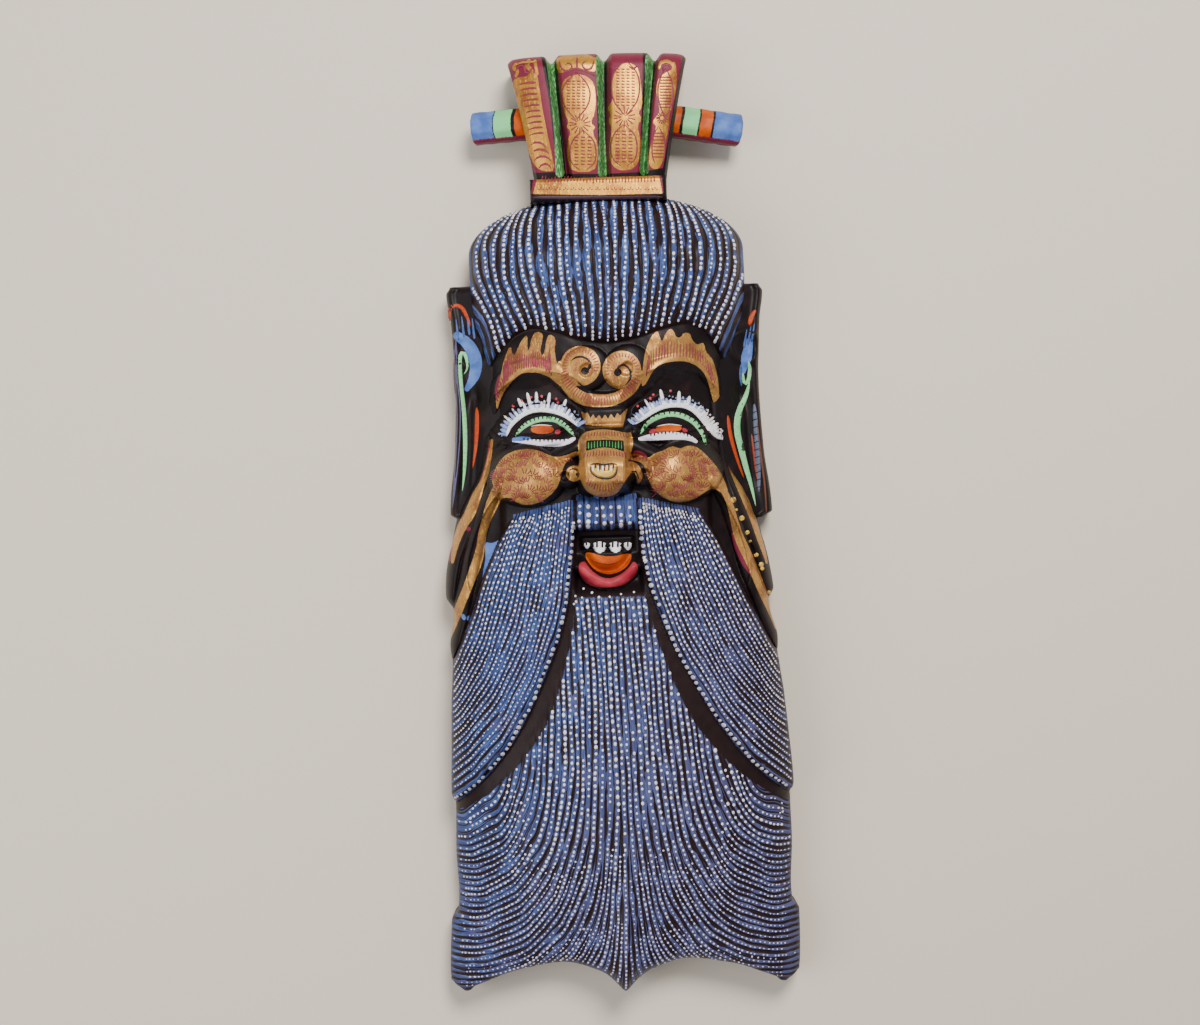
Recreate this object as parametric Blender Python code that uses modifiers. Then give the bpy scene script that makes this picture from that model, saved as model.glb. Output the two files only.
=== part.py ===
"""A nuo opera mask, carved from one block of wood: a bearded old man under a tall crown with a hairpin.

The mask lies on the flat rim of its hollow back. X runs across it, Y towards the crown and Z out of the
face. The origin is under the middle of the mask, on the plane of the rim.
"""

import math

import bmesh
import bpy
import numpy as np
from mathutils import Matrix, Vector

# Driving dimensions, in metres
HEIGHT = 0.480  # tip of the beard to the top of the crown
WIDTH = 0.182  # across the lower corners of the beard
DEPTH = 0.086  # rim to the tip of the nose
WALL = 0.014  # wood left between the face and the hollow
RIM = 0.012  # flat rim round the hollow
RIM_UNDERCUT = 0.002  # how far the sides lean in towards the back

CROWN_HEIGHT = 0.0675  # lobes only
CROWN_TOP_WIDTH = 0.092
CROWN_FOOT_WIDTH = 0.067
CROWN_DEPTH = 0.044  # back to the front of the lobes
LOBES = 4
LOBE_GROOVE = 0.008  # depth of the cut between two lobes
LOBE_TOP_ROUNDING = 0.008
LOBE_NOTCH = 0.0022  # dip of the upper edge between two lobes
CROWN_SIDE_DROP = 0.004  # how much nearer the back the outer lobes stand
CROWN_TOP_ARCH = 0.001
BAND_HEIGHT = 0.0115
BAND_WIDTH = 0.0690
BAND_DEPTH = 0.047
BAND_EDGE = 0.002  # rounding of the band's edges

PIN_LEFT_REACH = 0.065  # middle of the crown to each end of the hairpin
PIN_RIGHT_REACH = 0.073
PIN_DIAMETER = 0.0175
PIN_DROP_DEG = 5.0  # each end droops and leans back by this angle
PIN_BACK_DEG = 10.0
PIN_CENTRE_DEPTH = 0.024  # rim plane to the pin's axis, where it enters the crown
PIN_BELOW_TOP = 0.0330  # crown top to the pin's axis

EAR_LENGTH = 0.121
EAR_THICKNESS = 0.014
EAR_LOWEST_BACK = 0.005  # rim plane to the back of the ear's outer edge
EAR_TILT_DEG = 24.0  # the ear's face turns outwards by this angle

HOLLOW_TOP = 0.034  # solid wood left above the hollow, under the crown
FOOT_OF_CROWN = 0.010  # rim plane to the back of the band
CROWN_SEAT = 0.008  # how far the hair runs up behind the band
BAND_SEAT = 0.002  # how far the band runs up behind the lobes
PIN_ROOT = 0.028  # middle of the crown to where each pin end starts, inside it
EAR_ROOT = 0.052  # middle of the mask to where each ear starts, inside the head
LEFT_EAR_FOOT = 0.003  # height of the ears' lower ends above the mask's middle
RIGHT_EAR_FOOT = 0.0
EAR_EDGE = [(0, 79), (0.03, 83.5), (0.1, 83), (0.3, 80), (0.6, 78.5), (0.85, 80), (0.97, 82), (1, 80)]

WOOD_BLACK = (0.012, 0.011, 0.013, 1.0)

# The carver's layout grid: positions in the carving are counted in these parts of the mask's own sizes
PART_X = WIDTH / 182
PART_Y = HEIGHT / 480
PART_Z = DEPTH / 86

SHEET_COLUMNS = 116
SHEET_ROWS = 250
FACE_TRIANGLES = 6600  # of the face, before the crown, the pin and the ears are joined to it
CROWN_TRIANGLES = 1500
EAR_TRIANGLES = 420


def smooth_through(t, points):
    """A smooth curve through (place, value) points, flat where the points turn round."""
    place, value = np.array(points, float).T
    step = np.diff(place)
    slope = np.diff(value) / step
    bend = np.zeros(len(place))
    same = slope[:-1] * slope[1:] > 0
    both = np.where(same, slope[:-1] + slope[1:], 1.0)
    bend[1:-1] = np.where(same, 2 * slope[:-1] * slope[1:] / both, 0.0)
    i = np.clip(np.searchsorted(place, t) - 1, 0, len(place) - 2)
    u = np.clip((t - place[i]) / step[i], 0, 1)
    rise = (1 + 2 * u) * (1 - u) ** 2 * value[i] + u * u * (3 - 2 * u) * value[i + 1]
    return rise + step[i] * (u * (1 - u) ** 2 * bend[i] - u * u * (1 - u) * bend[i + 1])


def ramp(value, low, high):
    """0 below low, 1 above high and an S-curve between them."""
    t = np.clip((value - low) / (high - low), 0, 1)
    return t * t * (3 - 2 * t)


def mound(across, along, x, y, rx, ry, turn=0.0):
    """A round hill of height 1 with radii rx and ry, on both sides of the middle of the face."""
    c, s = math.cos(math.radians(turn)), math.sin(math.radians(turn))
    dx, dy = np.abs(across) - x, along - y
    r2 = ((dx * c + dy * s) / rx) ** 2 + ((dy * c - dx * s) / ry) ** 2
    return np.sqrt(np.clip(1 - r2, 0, 1))


def ridge(across, along, points, radius):
    """A rounded ridge of height 1 along a line of points, on both sides of the face."""
    x, best = np.abs(across), np.full(np.shape(across), 1e9)
    for (x0, y0), (x1, y1) in zip(points, points[1:]):
        length2 = (x1 - x0) ** 2 + (y1 - y0) ** 2
        t = np.clip(((x - x0) * (x1 - x0) + (along - y0) * (y1 - y0)) / length2, 0, 1)
        gap = np.hypot(x - x0 - t * (x1 - x0), along - y0 - t * (y1 - y0))
        best = np.minimum(best, gap)
    return np.sqrt(np.clip(1 - (best / radius) ** 2, 0, 1))


# The outline, in parts: half widths at heights above the mask's middle, and the two ends
HALF_WIDTHS = [
    (-240, 88), (-236, 90.5), (-226, 91), (-204, 90.5), (-199, 87), (-190, 86.5), (-167, 87.5), (-143, 87),
    (-137, 88.5), (-115, 87.5), (-90, 86), (-72, 84.5), (-62, 85), (-46, 82), (-43, 82), (-36, 85), (-24, 84),
    (-8, 77), (8, 71), (30, 65), (62, 62), (80, 62), (95, 66.5), (108, 69.5), (125, 71), (150, 71), (175, 71),
]
FOOT_LINE = [(0, -240), (0.05, -236.5), (0.14, -231), (0.36, -226), (0.58, -228.5), (0.85, -236.5), (0.94, -240), (1, -235)]
CAP_TOP = (HEIGHT / 2 - CROWN_HEIGHT - BAND_HEIGHT + CROWN_SEAT) / PART_Y
MIDDLE_LINE = [
    (-240, -0.6), (-226, -0.2), (-200, 0.7), (-140, 1.2), (-90, 0.2), (-50, -1.3), (-20, -2.8), (25, -2.8), (70, -0.8),
    (110, 1.7), (169, 1.2),
]
CAP_DROP = 30.0
EDGE = 12.0  # height of the carving's edge above the rim plane
MIDDLE_HEIGHTS = [
    (-240, 34), (-225, 39), (-195, 43), (-150, 47), (-90, 51), (-45, 52), (-20, 52), (10, 56), (50, 56),
    (75, 57), (95, 57), (130, 59), (160, 50), (175, 46),
]
HAIRLINE = [(0, 92), (12, 94), (25, 99), (38, 103), (46, 100), (54, 92), (60, 82), (66, 76), (80, 74)]
MOUSTACHE_INNER = [
    (-240, 260), (-147, 96), (-142, 86), (-125, 66), (-104, 50), (-82, 38), (-55, 26), (-30, 19), (-5, 16), (12, 15.5),
]
MOUSTACHE_OUTER = [
    (-150, 215), (-132, 175), (-110, 130), (-90, 101), (-72, 86), (-60, 79), (-45, 72), (-25, 63), (-10, 56), (8, 47),
]
BEARD_FAN = [(-240, 0.10), (-225, 0.22), (-210, 0.36), (-190, 0.55), (-160, 0.80), (-120, 1.0), (-80, 1.12), (-36, 1.3)]
LOCK = 8.6  # width of one carved lock of the beard
CAP_LOCKS = 8  # locks on each half of the hair
LOBE_LOCKS = 6  # locks on each half of the moustache
LOCK_DEPTH = 1.3


def half_width(along):
    return smooth_through(along, HALF_WIDTHS)


def cap_half_width(along):
    """Half width of the hair: an arch over straight sides."""
    drop = np.clip((along - (CAP_TOP - CAP_DROP)) / CAP_DROP, 0, 1)
    return half_width(np.minimum(along, CAP_TOP - CAP_DROP)) * np.sqrt(np.clip(1 - drop**2, 0.2, 1))


def cap_line(share):
    """Height of the outline's top at a share of the half width."""
    return CAP_TOP - CAP_DROP * (1 - np.sqrt(np.clip(1 - share**2, 0, 1)))


def foot_line(share):
    return smooth_through(np.abs(share), FOOT_LINE)


def block(across, along):
    """The rounded block before any feature is cut: an arch across, falling away at its two ends."""
    share = np.clip(np.abs(across) / half_width(along), 0, 1)
    sides = np.sqrt(np.clip(1 - share**2.6, 0, 1))
    top = 1 - np.clip((cap_line(share) - along) / 34, 0, 1)
    foot = 1 - np.clip((along - foot_line(share)) / 9, 0, 1)
    ends = np.sqrt(np.clip(1 - top**2.4, 0, 1)) * (0.62 + 0.38 * np.sqrt(np.clip(1 - foot**2, 0, 1)))
    return EDGE + (smooth_through(along, MIDDLE_HEIGHTS) - EDGE) * sides * ends


def locks(phase):
    """Round locks with narrow cuts between them, as waves that are broad above and sharp below."""
    return LOCK_DEPTH * (np.abs(np.cos(np.pi * phase)) ** 0.7 - 0.75)


def hair(across, along):
    """How far the hair stands above the forehead, with its locks."""
    above = along - smooth_through(np.abs(across), HAIRLINE)
    body = 8.5 * np.sqrt(ramp(above, 0, 8))
    sweep = across / np.maximum(cap_half_width(along), 1)
    return body + ramp(above, 1, 6) * locks(sweep * CAP_LOCKS)


def brows(across, along):
    """Flame brows with a raised lower rim, and two curls that meet over the nose."""
    flame = mound(across, along, 38, 88, 24, 15, -8) ** 0.6 * 2.6
    rim = ridge(across, along, [(60, 60), (56, 70), (48, 78), (37, 81), (26, 77), (17, 68), (8, 61), (0, 60)], 5)
    curl = mound(across, along, 10.5, 77, 12, 11.5) ** 0.5
    eye_of_curl = mound(across, along, 10, 76, 3.4, 3.4) ** 0.5
    return np.maximum(np.maximum(flame, 3.6 * rim), 4.8 * curl) - 2.4 * eye_of_curl


def eyes(across, along):
    """A deep socket with a lidded eye in it."""
    socket = mound(across, along, 34, 58, 27, 18, -5) ** 1.2
    eyeball = mound(across, along, 34, 53, 20.5, 9, -6)
    lid = ridge(across, along, [(13, 46), (20, 54), (30, 60), (42, 59), (52, 51), (57, 44)], 4.5)
    return 6.0 * eyeball + 2.2 * lid - 8.0 * socket


def nose(across, along):
    """A blunt block of a nose, with a step at its root and a curled wing on each side."""
    block_part = ramp(along, 12, 20) * ramp(-along, -50, -46) * ramp(-np.abs(across), -14.5, -9)
    lift = smooth_through(along, [(10, 22), (18, 28.8), (27, 28.8), (38, 21), (50, 12)])
    bulb = 30 * mound(across, along, 0, 25, 14.5, 13) ** 0.7
    root = 5 * ramp(-np.abs(across), -12, -8) * ramp(along, 44, 50) * ramp(-along, -62, -55)
    wing = 13 * mound(across, along, 18.5, 25, 7.5, 7.5) ** 0.7
    dimple = 4 * mound(across, along, 20, 23.5, 2.6, 2.6)
    return np.maximum(np.maximum(block_part * lift, bulb), np.maximum(root, wing - dimple))


def cheeks(across, along):
    """Ball cheeks, each drawn out in a tail towards the root of the nose."""
    ball = 15 * mound(across, along, 40, 26, 21, 17.5, 8) ** 0.8
    tail = 7 * ridge(across, along, [(14, 41), (20, 36), (27, 32)], 5)
    return np.maximum(ball, tail)


def jaw_ribbons(across, along):
    """Two flat ribbons that run from the cheek down to the edge, with a hollow inside them."""
    outer = ridge(across, along, [(62, 44), (65, 22), (71, 2), (79, -16), (84, -38)], 4)
    inner = ridge(across, along, [(56, 20), (62, 8), (67, -8), (72, -28), (79, -48), (85, -64)], 4.5)
    hollow = mound(across, along, 60, -9, 8, 27, 20)
    return 4 * np.maximum(outer, inner) - 5 * hollow


def moustache(across, along):
    """Two long wings of moustache that sweep out to the edges, over the beard."""
    x = np.abs(across)
    inner = smooth_through(along, MOUSTACHE_INNER)
    outer = smooth_through(along, MOUSTACHE_OUTER)
    top = 11 - 0.22 * np.clip(x - 18, 0, 60)
    slope = np.hypot(1, np.clip((inner - 16) / 30, 0, 1.1))
    body = ramp((x - inner) / slope, -1, 4) * ramp(outer - x, -1, 4) * ramp(top - along, 0, 6)
    sweep = (x - inner) / np.maximum(outer - inner, 1)
    return body * (8.0 + locks(sweep * LOBE_LOCKS))


def mouth(across, along):
    """An open mouth under a short fringe of moustache: a tongue and a full lower lip in a recess."""
    x = np.abs(across)
    fringe = 7 * ramp(along, -4.5, -2) * ramp(-along, -15, -10) * ramp(-x, -18, -14)
    fringe = fringe + fringe / 7 * locks(across / 5.6)
    recess = 7.5 * ramp(along, -37, -31) * ramp(-along, 0, 4) * ramp(-x, -18, -15.5)
    teeth = 2.5 * ramp(along, -14, -12) * ramp(-along, 6.5, 8) * ramp(-x, -14, -12)
    bowl = 1 - np.sqrt((across / 13) ** 2 + ((along + 14) / 11) ** 2)
    tongue = 5.5 * ramp(bowl, 0, 0.45) * ramp(-along, 13.5, 15.5)
    ring = np.sqrt((across / 15) ** 2 + ((along + 15) / 14.5) ** 2)
    lip = 9 * np.sqrt(np.clip(1 - ((ring - 1) / 0.28) ** 2, 0, 1)) * ramp(-along, 15, 23)
    return fringe - recess + np.maximum(np.maximum(teeth, tongue), lip)


def beard(across, along):
    """Locks that hang straight and then fan out to the corners, with a keel at the tip."""
    x = np.abs(across)
    fan = across * smooth_through(along, BEARD_FAN)
    spread = ramp(-along, 36, 44) * ramp(x, -1, 0) * locks(fan / LOCK)
    keel = 7 * np.exp(-((x / 6) ** 2)) * ramp(-along, 175, 236)
    flank = 6 * np.exp(-(((x - 30) / 20) ** 2)) * ramp(-along, 185, 232)
    corner = 4 * np.exp(-(((x - 78) / 14) ** 2)) * ramp(-along, 190, 226)
    return spread + keel - flank + corner


def front(across, along):
    """Height of the carved face above the rim plane, in parts."""
    x = np.abs(across)
    face = ramp(-along, -104, -92) * ramp(along, -2, 8)
    relief = brows(across, along) + eyes(across, along)
    relief = np.maximum(relief, 0) * (x < 61) + np.minimum(relief, 0)
    high = np.maximum(nose(across, along), cheeks(across, along))
    relief = np.where(high > 0.2, np.maximum(relief, high), relief)
    low = np.where(moustache(across, along) > 0.5, moustache(across, along), beard(across, along))
    below = ramp(-along, -12, -4)
    relief = relief * face + low * below * (high < 2.5) + mouth(across, along) * (high < 1)
    side = jaw_ribbons(across, along) * ramp(x, 50, 54) * (moustache(across, along) < 0.5)
    return block(across, along) + relief + side + hair(across, along)


def sheet(build, points):
    """A grid primitive whose corners are moved to an array of points. Returns the loop round its border."""
    rows, columns = points.shape[:2]
    made = bmesh.ops.create_grid(build, x_segments=columns - 1, y_segments=rows - 1, size=0.5)["verts"]
    made = sorted(made, key=lambda v: (round(v.co.y * 1e5), round(v.co.x * 1e5)))
    for vertex, place in zip(made, points.reshape(-1, 3)):
        vertex.co = place
    order = np.arange(rows * columns).reshape(rows, columns)
    border = np.concatenate([order[0, :-1], order[:-1, -1], order[-1, :0:-1], order[:0:-1, 0]])
    return [made[i] for i in border]


def carved_block(name, face, back, facets):
    """A closed solid between a carved sheet and the sheet behind it, thinned to a number of triangles."""
    build = bmesh.new()
    front_loop, back_loop = sheet(build, face), sheet(build, back)
    for i in range(len(front_loop)):
        j = (i + 1) % len(front_loop)
        build.faces.new((front_loop[i], front_loop[j], back_loop[j], back_loop[i]))
    bmesh.ops.remove_doubles(build, verts=build.verts, dist=1e-6)
    bmesh.ops.recalc_face_normals(build, faces=build.faces)
    mesh = bpy.data.meshes.new(name)
    build.to_mesh(mesh)
    build.free()
    solid = bpy.data.objects.new(name, mesh)
    thin = solid.modifiers.new("broad facets", "DECIMATE")
    thin.ratio = facets / sum(len(p.vertices) - 2 for p in mesh.polygons)
    return solid


def even(count):
    return np.linspace(0, 1, count)


def crowded_to_ends(count):
    """Shares from -1 to 1 that lie closer together near both ends."""
    return np.sin(np.pi / 2 * np.linspace(-1, 1, count) * 0.93) / math.sin(np.pi / 2 * 0.93)


def face_sheet():
    """The carved face, with one more ring of points round it where its sides meet the rim plane."""
    share, up = np.meshgrid(crowded_to_ends(SHEET_COLUMNS), even(SHEET_ROWS))
    along = foot_line(share) + up * (cap_line(share) - foot_line(share))
    across = share * half_width(along)
    height = front(across, along)
    across = across + smooth_through(along, MIDDLE_LINE)
    face = np.dstack([across * PART_X, along * PART_Y, height * PART_Z])
    ring = np.pad(face, ((1, 1), (1, 1), (0, 0)), mode="edge")
    outside = np.ones(ring.shape[:2], bool)
    outside[1:-1, 1:-1] = False
    length = np.hypot(ring[outside, 0], ring[outside, 1])[:, None]
    ring[outside, :2] *= 1 - RIM_UNDERCUT / length
    ring[outside, 2] = 0
    return ring


def hollow_sheet():
    """The hollow behind the face. It follows the block at the wall's thickness and ends at the rim."""
    share, up = np.meshgrid(crowded_to_ends(SHEET_COLUMNS + 2), even(SHEET_ROWS + 2))
    inset = (RIM + RIM_UNDERCUT) / PART_Y
    lowest, highest = foot_line(share * 0.9) + 1.6 * inset, cap_line(share * 0.86) - HOLLOW_TOP / PART_Y
    along = lowest + up * (highest - lowest)
    across = share * (half_width(along) - (RIM + RIM_UNDERCUT) / PART_X) + smooth_through(along, MIDDLE_LINE)
    sides = np.sqrt(np.clip(1 - np.abs(share) ** 2.6, 0, 1))
    ends = np.sqrt(np.clip(1 - np.abs(2 * up - 1) ** 7, 0, 1))
    height = smooth_through(along, MIDDLE_HEIGHTS) * PART_Z - WALL
    return np.dstack([across * PART_X, along * PART_Y, height * sides * ends])


def crown_lobes():
    """A fan of tall lobes, round in section, with cuts between them and soft upper ends."""
    share, up = np.meshgrid(np.linspace(-1, 1, 12 * LOBES + 1), even(26))
    half = (CROWN_FOOT_WIDTH + (CROWN_TOP_WIDTH - CROWN_FOOT_WIDTH) * up**1.15) / 2
    in_lobe = np.abs(2 * ((share + 1) / 2 * LOBES % 1) - 1)
    in_lobe = np.where(np.abs(share) > 0.999, 0.86, in_lobe)
    swell = 1 - in_lobe**3.2
    top = np.clip((1 - up) * CROWN_HEIGHT / LOBE_TOP_ROUNDING, 0, 1)
    rounding = np.sqrt(np.clip(1 - (1 - top) ** 2, 0, 1))
    slope = CROWN_DEPTH * (0.93 + 0.07 * np.sin(np.pi * up)) - CROWN_SIDE_DROP * np.abs(share) ** 3
    height = (slope - LOBE_GROOVE * (1 - swell)) * (0.72 + 0.28 * rounding)
    foot = HEIGHT / 2 - CROWN_HEIGHT
    notch = LOBE_NOTCH * (1 - swell) * up**8
    along = foot + up * CROWN_HEIGHT - notch - CROWN_TOP_ARCH * share**2 * up
    face = np.dstack([share * half, along, height])
    back = face.copy()
    back[:, :, 2] = 0
    return carved_block("crown_lobes", face, back, CROWN_TRIANGLES)


def crown_band():
    """The raised band that the lobes stand on."""
    bpy.ops.mesh.primitive_cube_add(size=1)
    band = bpy.context.object
    band.name = "crown_band"
    band.scale = (BAND_WIDTH, BAND_HEIGHT + BAND_SEAT, BAND_DEPTH - FOOT_OF_CROWN)
    band.location = (0, HEIGHT / 2 - CROWN_HEIGHT - BAND_HEIGHT / 2 + BAND_SEAT / 2, 0)
    band.location.z = (BAND_DEPTH + FOOT_OF_CROWN) / 2
    bpy.ops.object.transform_apply(location=True, rotation=False, scale=True)
    bevel = band.modifiers.new("rounding", "BEVEL")
    bevel.width = BAND_EDGE
    bevel.segments = 2
    return band


def hairpin_end(side):
    """One end of the eight-sided hairpin, from inside the crown to its cut end."""
    reach = (PIN_LEFT_REACH if side < 0 else PIN_RIGHT_REACH) - PIN_ROOT
    slant = math.cos(math.radians(PIN_DROP_DEG)) * math.cos(math.radians(PIN_BACK_DEG))
    bpy.ops.mesh.primitive_cylinder_add(vertices=8, radius=PIN_DIAMETER / 2, depth=reach / slant)
    pin = bpy.context.object
    pin.name = "left_hairpin_end" if side < 0 else "right_hairpin_end"
    pin.data.transform(Matrix.Rotation(math.radians(22.5), 4, "Z"))
    pin.data.transform(Matrix.Translation((0, 0, reach / slant / 2)))
    droop, lean = math.tan(math.radians(PIN_DROP_DEG)), math.tan(math.radians(PIN_BACK_DEG))
    aim = Vector((side, -droop, -lean)).to_track_quat("Z", "Y")
    root = Vector((side * PIN_ROOT, HEIGHT / 2 - PIN_BELOW_TOP, PIN_CENTRE_DEPTH))
    pin.data.transform(Matrix.Translation(root) @ aim.to_matrix().to_4x4())
    return pin


def ear(side):
    """A long flat ear with a rolled rim, a curl at its top and a groove down its lobe."""
    share, up = np.meshgrid(np.linspace(-1, 1, 25), even(60))
    outer = smooth_through(up, EAR_EDGE) * PART_X
    across = EAR_ROOT + (share + 1) / 2 * (outer - EAR_ROOT)
    foot = LEFT_EAR_FOOT if side < 0 else RIGHT_EAR_FOOT
    along = foot + up * EAR_LENGTH
    x, y = across / PART_X, up * EAR_LENGTH / PART_Y
    rim = 2.4 * np.exp(-(((share - 0.86) / 0.16) ** 2))
    roll = 2.2 * np.exp(-(((np.hypot(x - 72, y - 88) - 7.5) / 2.6) ** 2))
    dish = 2.6 * np.exp(-(((share - 0.35) / 0.3) ** 2)) * ramp(y, 6, 22) * ramp(-y, -77, -63)
    hollow = 2.4 * np.exp(-(((x - 68) / 4) ** 2 + ((y - 63) / 6) ** 2))
    edge = np.minimum((1 - np.abs(share)) * (outer - EAR_ROOT) / 2 / PART_X, np.minimum(up, 1 - up) * EAR_LENGTH / PART_Y)
    rounding = 3.2 * (1 - np.sqrt(np.clip(1 - (1 - np.clip(edge / 4, 0, 1)) ** 2, 0, 1)))
    carved = (rim + roll - dish - hollow - rounding) * PART_Z
    lean = math.tan(math.radians(EAR_TILT_DEG))
    behind = EAR_LOWEST_BACK + (np.max(outer) - across) * lean
    face = np.dstack([side * across, along, behind + EAR_THICKNESS + carved])
    back = np.dstack([side * across, along, behind])
    return carved_block("left_ear" if side < 0 else "right_ear", face, back, EAR_TRIANGLES)


def united(body, others):
    """The body with the other solids joined to it, so that the whole is one solid."""
    for other in others:
        union = body.modifiers.new(other.name, "BOOLEAN")
        union.operation = "UNION"
        union.object = other
        other.hide_render = True
        other.display_type = "WIRE"
    return body


def black_lacquer():
    """Black lacquer over wood: the mask's base coat."""
    material = bpy.data.materials.new("black lacquer")
    material.use_nodes = True
    shader = material.node_tree.nodes["Principled BSDF"]
    shader.inputs["Base Color"].default_value = WOOD_BLACK
    shader.inputs["Roughness"].default_value = 0.38
    shader.inputs["Metallic"].default_value = 0.0
    return material


def collection(name, objects):
    """Puts objects in a named collection of the scene, and nowhere else."""
    made = bpy.data.collections.new(name)
    bpy.context.scene.collection.children.link(made)
    for item in objects:
        for old in list(item.users_collection):
            old.objects.unlink(item)
        made.objects.link(item)
    return made


def nuo_mask():
    """The whole mask as one solid."""
    mask = carved_block("nuo_mask", face_sheet(), hollow_sheet(), FACE_TRIANGLES)
    additions = [crown_lobes(), crown_band(), hairpin_end(-1), hairpin_end(1), ear(-1), ear(1)]
    united(mask, additions)
    mask.data.materials.append(black_lacquer())
    collection("nuo opera mask", [mask])
    collection("joined into the mask", additions)
    return mask


for leftover in list(bpy.data.objects):
    bpy.data.objects.remove(leftover)
nuo_mask()
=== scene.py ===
# %% [markdown]
# # A nuo opera mask on its back
# This notebook dresses a carved and painted mask in one solid: a bearded old man under a tall lobed crown.
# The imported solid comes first, as a fixed frame. Every surface after it is worked out with numpy in the same
# place, so that it can stand for the solid and carry the fine cuts and the paint that the solid leaves out.
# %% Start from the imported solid
import math

import bmesh
import bpy
import numpy as np
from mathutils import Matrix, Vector


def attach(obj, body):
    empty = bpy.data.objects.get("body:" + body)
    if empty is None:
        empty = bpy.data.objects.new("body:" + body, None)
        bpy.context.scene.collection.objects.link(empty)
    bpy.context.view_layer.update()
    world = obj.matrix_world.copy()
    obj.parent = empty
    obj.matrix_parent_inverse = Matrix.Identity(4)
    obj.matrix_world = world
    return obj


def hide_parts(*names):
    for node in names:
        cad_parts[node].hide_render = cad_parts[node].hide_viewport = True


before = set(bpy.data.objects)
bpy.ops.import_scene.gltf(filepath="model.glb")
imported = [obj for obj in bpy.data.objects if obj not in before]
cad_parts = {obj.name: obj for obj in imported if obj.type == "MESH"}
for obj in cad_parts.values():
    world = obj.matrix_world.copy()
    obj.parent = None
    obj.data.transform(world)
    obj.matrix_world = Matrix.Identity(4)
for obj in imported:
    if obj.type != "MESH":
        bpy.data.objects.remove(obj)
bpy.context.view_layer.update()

chance = np.random.default_rng(31)
MM = 0.001  # the carving is laid out in millimetres and put into meshes in metres

# %% [markdown]
# ## The eye that looks down on it
# The picture was taken from straight above, a little over a metre away. The camera could be placed by hand, but
# the brushwork below is easiest to lay out as it is seen, so the same few numbers serve both: a camera, and a
# pair of functions that go from a place on the mask to a place in the 1200 by 1025 picture and back.
# %% Camera and the way from picture to mask
EYE = (-5.9, 5.0, 1100.0)
ROLL = math.radians(-1.87)
LENS, SENSOR = 62.6, 36.0
MIDDLE = (600.0, 512.5)
FOCAL = LENS / SENSOR * 2 * MIDDLE[0]
RIGHTWARD = (math.cos(ROLL), math.sin(ROLL))
UPWARD = (-math.sin(ROLL), math.cos(ROLL))


def stand(name, data):
    """Puts an object with this data into the scene."""
    made = bpy.data.objects.new(name, data)
    bpy.context.scene.collection.objects.link(made)
    return made


camera = stand("camera", bpy.data.cameras.new("camera"))
camera.data.lens, camera.data.sensor_width = LENS, SENSOR
camera.location = [c * MM for c in EYE]
camera.rotation_euler = (0, 0, ROLL)
bpy.context.scene.camera = camera


def seen_at(x, y, z):
    """Picture place of a point: its offset from the eye, turned by the roll and divided by its distance."""
    scale = FOCAL / (EYE[2] - z)
    dx, dy = x - EYE[0], y - EYE[1]
    across, up = dx * RIGHTWARD[0] + dy * RIGHTWARD[1], dx * UPWARD[0] + dy * UPWARD[1]
    return MIDDLE[0] + across * scale, MIDDLE[1] - up * scale


def on_surface(u, v, height, start=40.0):
    """The point of a surface z = height(x, y) seen at a picture place, found by stepping along the ray."""
    z = np.full(np.shape(u), start)
    for _ in range(7):
        scale = (EYE[2] - z) / FOCAL
        across, up = (u - MIDDLE[0]) * scale, (MIDDLE[1] - v) * scale
        x = EYE[0] + across * RIGHTWARD[0] + up * UPWARD[0]
        y = EYE[1] + across * RIGHTWARD[1] + up * UPWARD[1]
        z = 0.35 * z + 0.65 * height(x, y)
    return x, y, height(x, y)


print("focal length", round(FOCAL), "pixels")

# %% [markdown]
# ## The form of the carving
# A carver starts from a rounded block and raises or sinks each feature in it. The same is done here: the height
# of the face is a sum of simple hills, ridges and ramps over the plane of the rim, each a function of the place
# across and along the mask. The solid was made from the same functions, with broader locks, fuller cheeks and
# no ledge under the eyes.
# %% Curves, ramps, hills and ridges
def smooth_through(t, points):
    """A smooth curve through (place, value) points, flat where the points turn round."""
    place, value = np.array(points, float).T
    step = np.diff(place)
    slope = np.diff(value) / step
    bend = np.zeros(len(place))
    same = slope[:-1] * slope[1:] > 0
    both = np.where(same, slope[:-1] + slope[1:], 1.0)
    bend[1:-1] = np.where(same, 2 * slope[:-1] * slope[1:] / both, 0.0)
    i = np.clip(np.searchsorted(place, t) - 1, 0, len(place) - 2)
    u = np.clip((t - place[i]) / step[i], 0, 1)
    rise = (1 + 2 * u) * (1 - u) ** 2 * value[i] + u * u * (3 - 2 * u) * value[i + 1]
    return rise + step[i] * (u * (1 - u) ** 2 * bend[i] - u * u * (1 - u) * bend[i + 1])


def ramp(value, low, high):
    """0 below low, 1 above high and an S-curve between them."""
    t = np.clip((value - low) / (high - low), 0, 1)
    return t * t * (3 - 2 * t)


def arch(x, power=2):
    """A round arch, 1 in the middle and 0 from 1 on: the root of 1 - x to a power, so the middle can be flatter."""
    return np.sqrt(np.clip(1 - x**power, 0, 1))


def mound(across, along, x, y, rx, ry, turn=0.0):
    """A round hill of height 1 with radii rx and ry, on both sides of the middle: the root of 1 - r squared."""
    c, s = math.cos(math.radians(turn)), math.sin(math.radians(turn))
    dx, dy = np.abs(across) - x, along - y
    r2 = ((dx * c + dy * s) / rx) ** 2 + ((dy * c - dx * s) / ry) ** 2
    return np.sqrt(np.clip(1 - r2, 0, 1))


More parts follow.
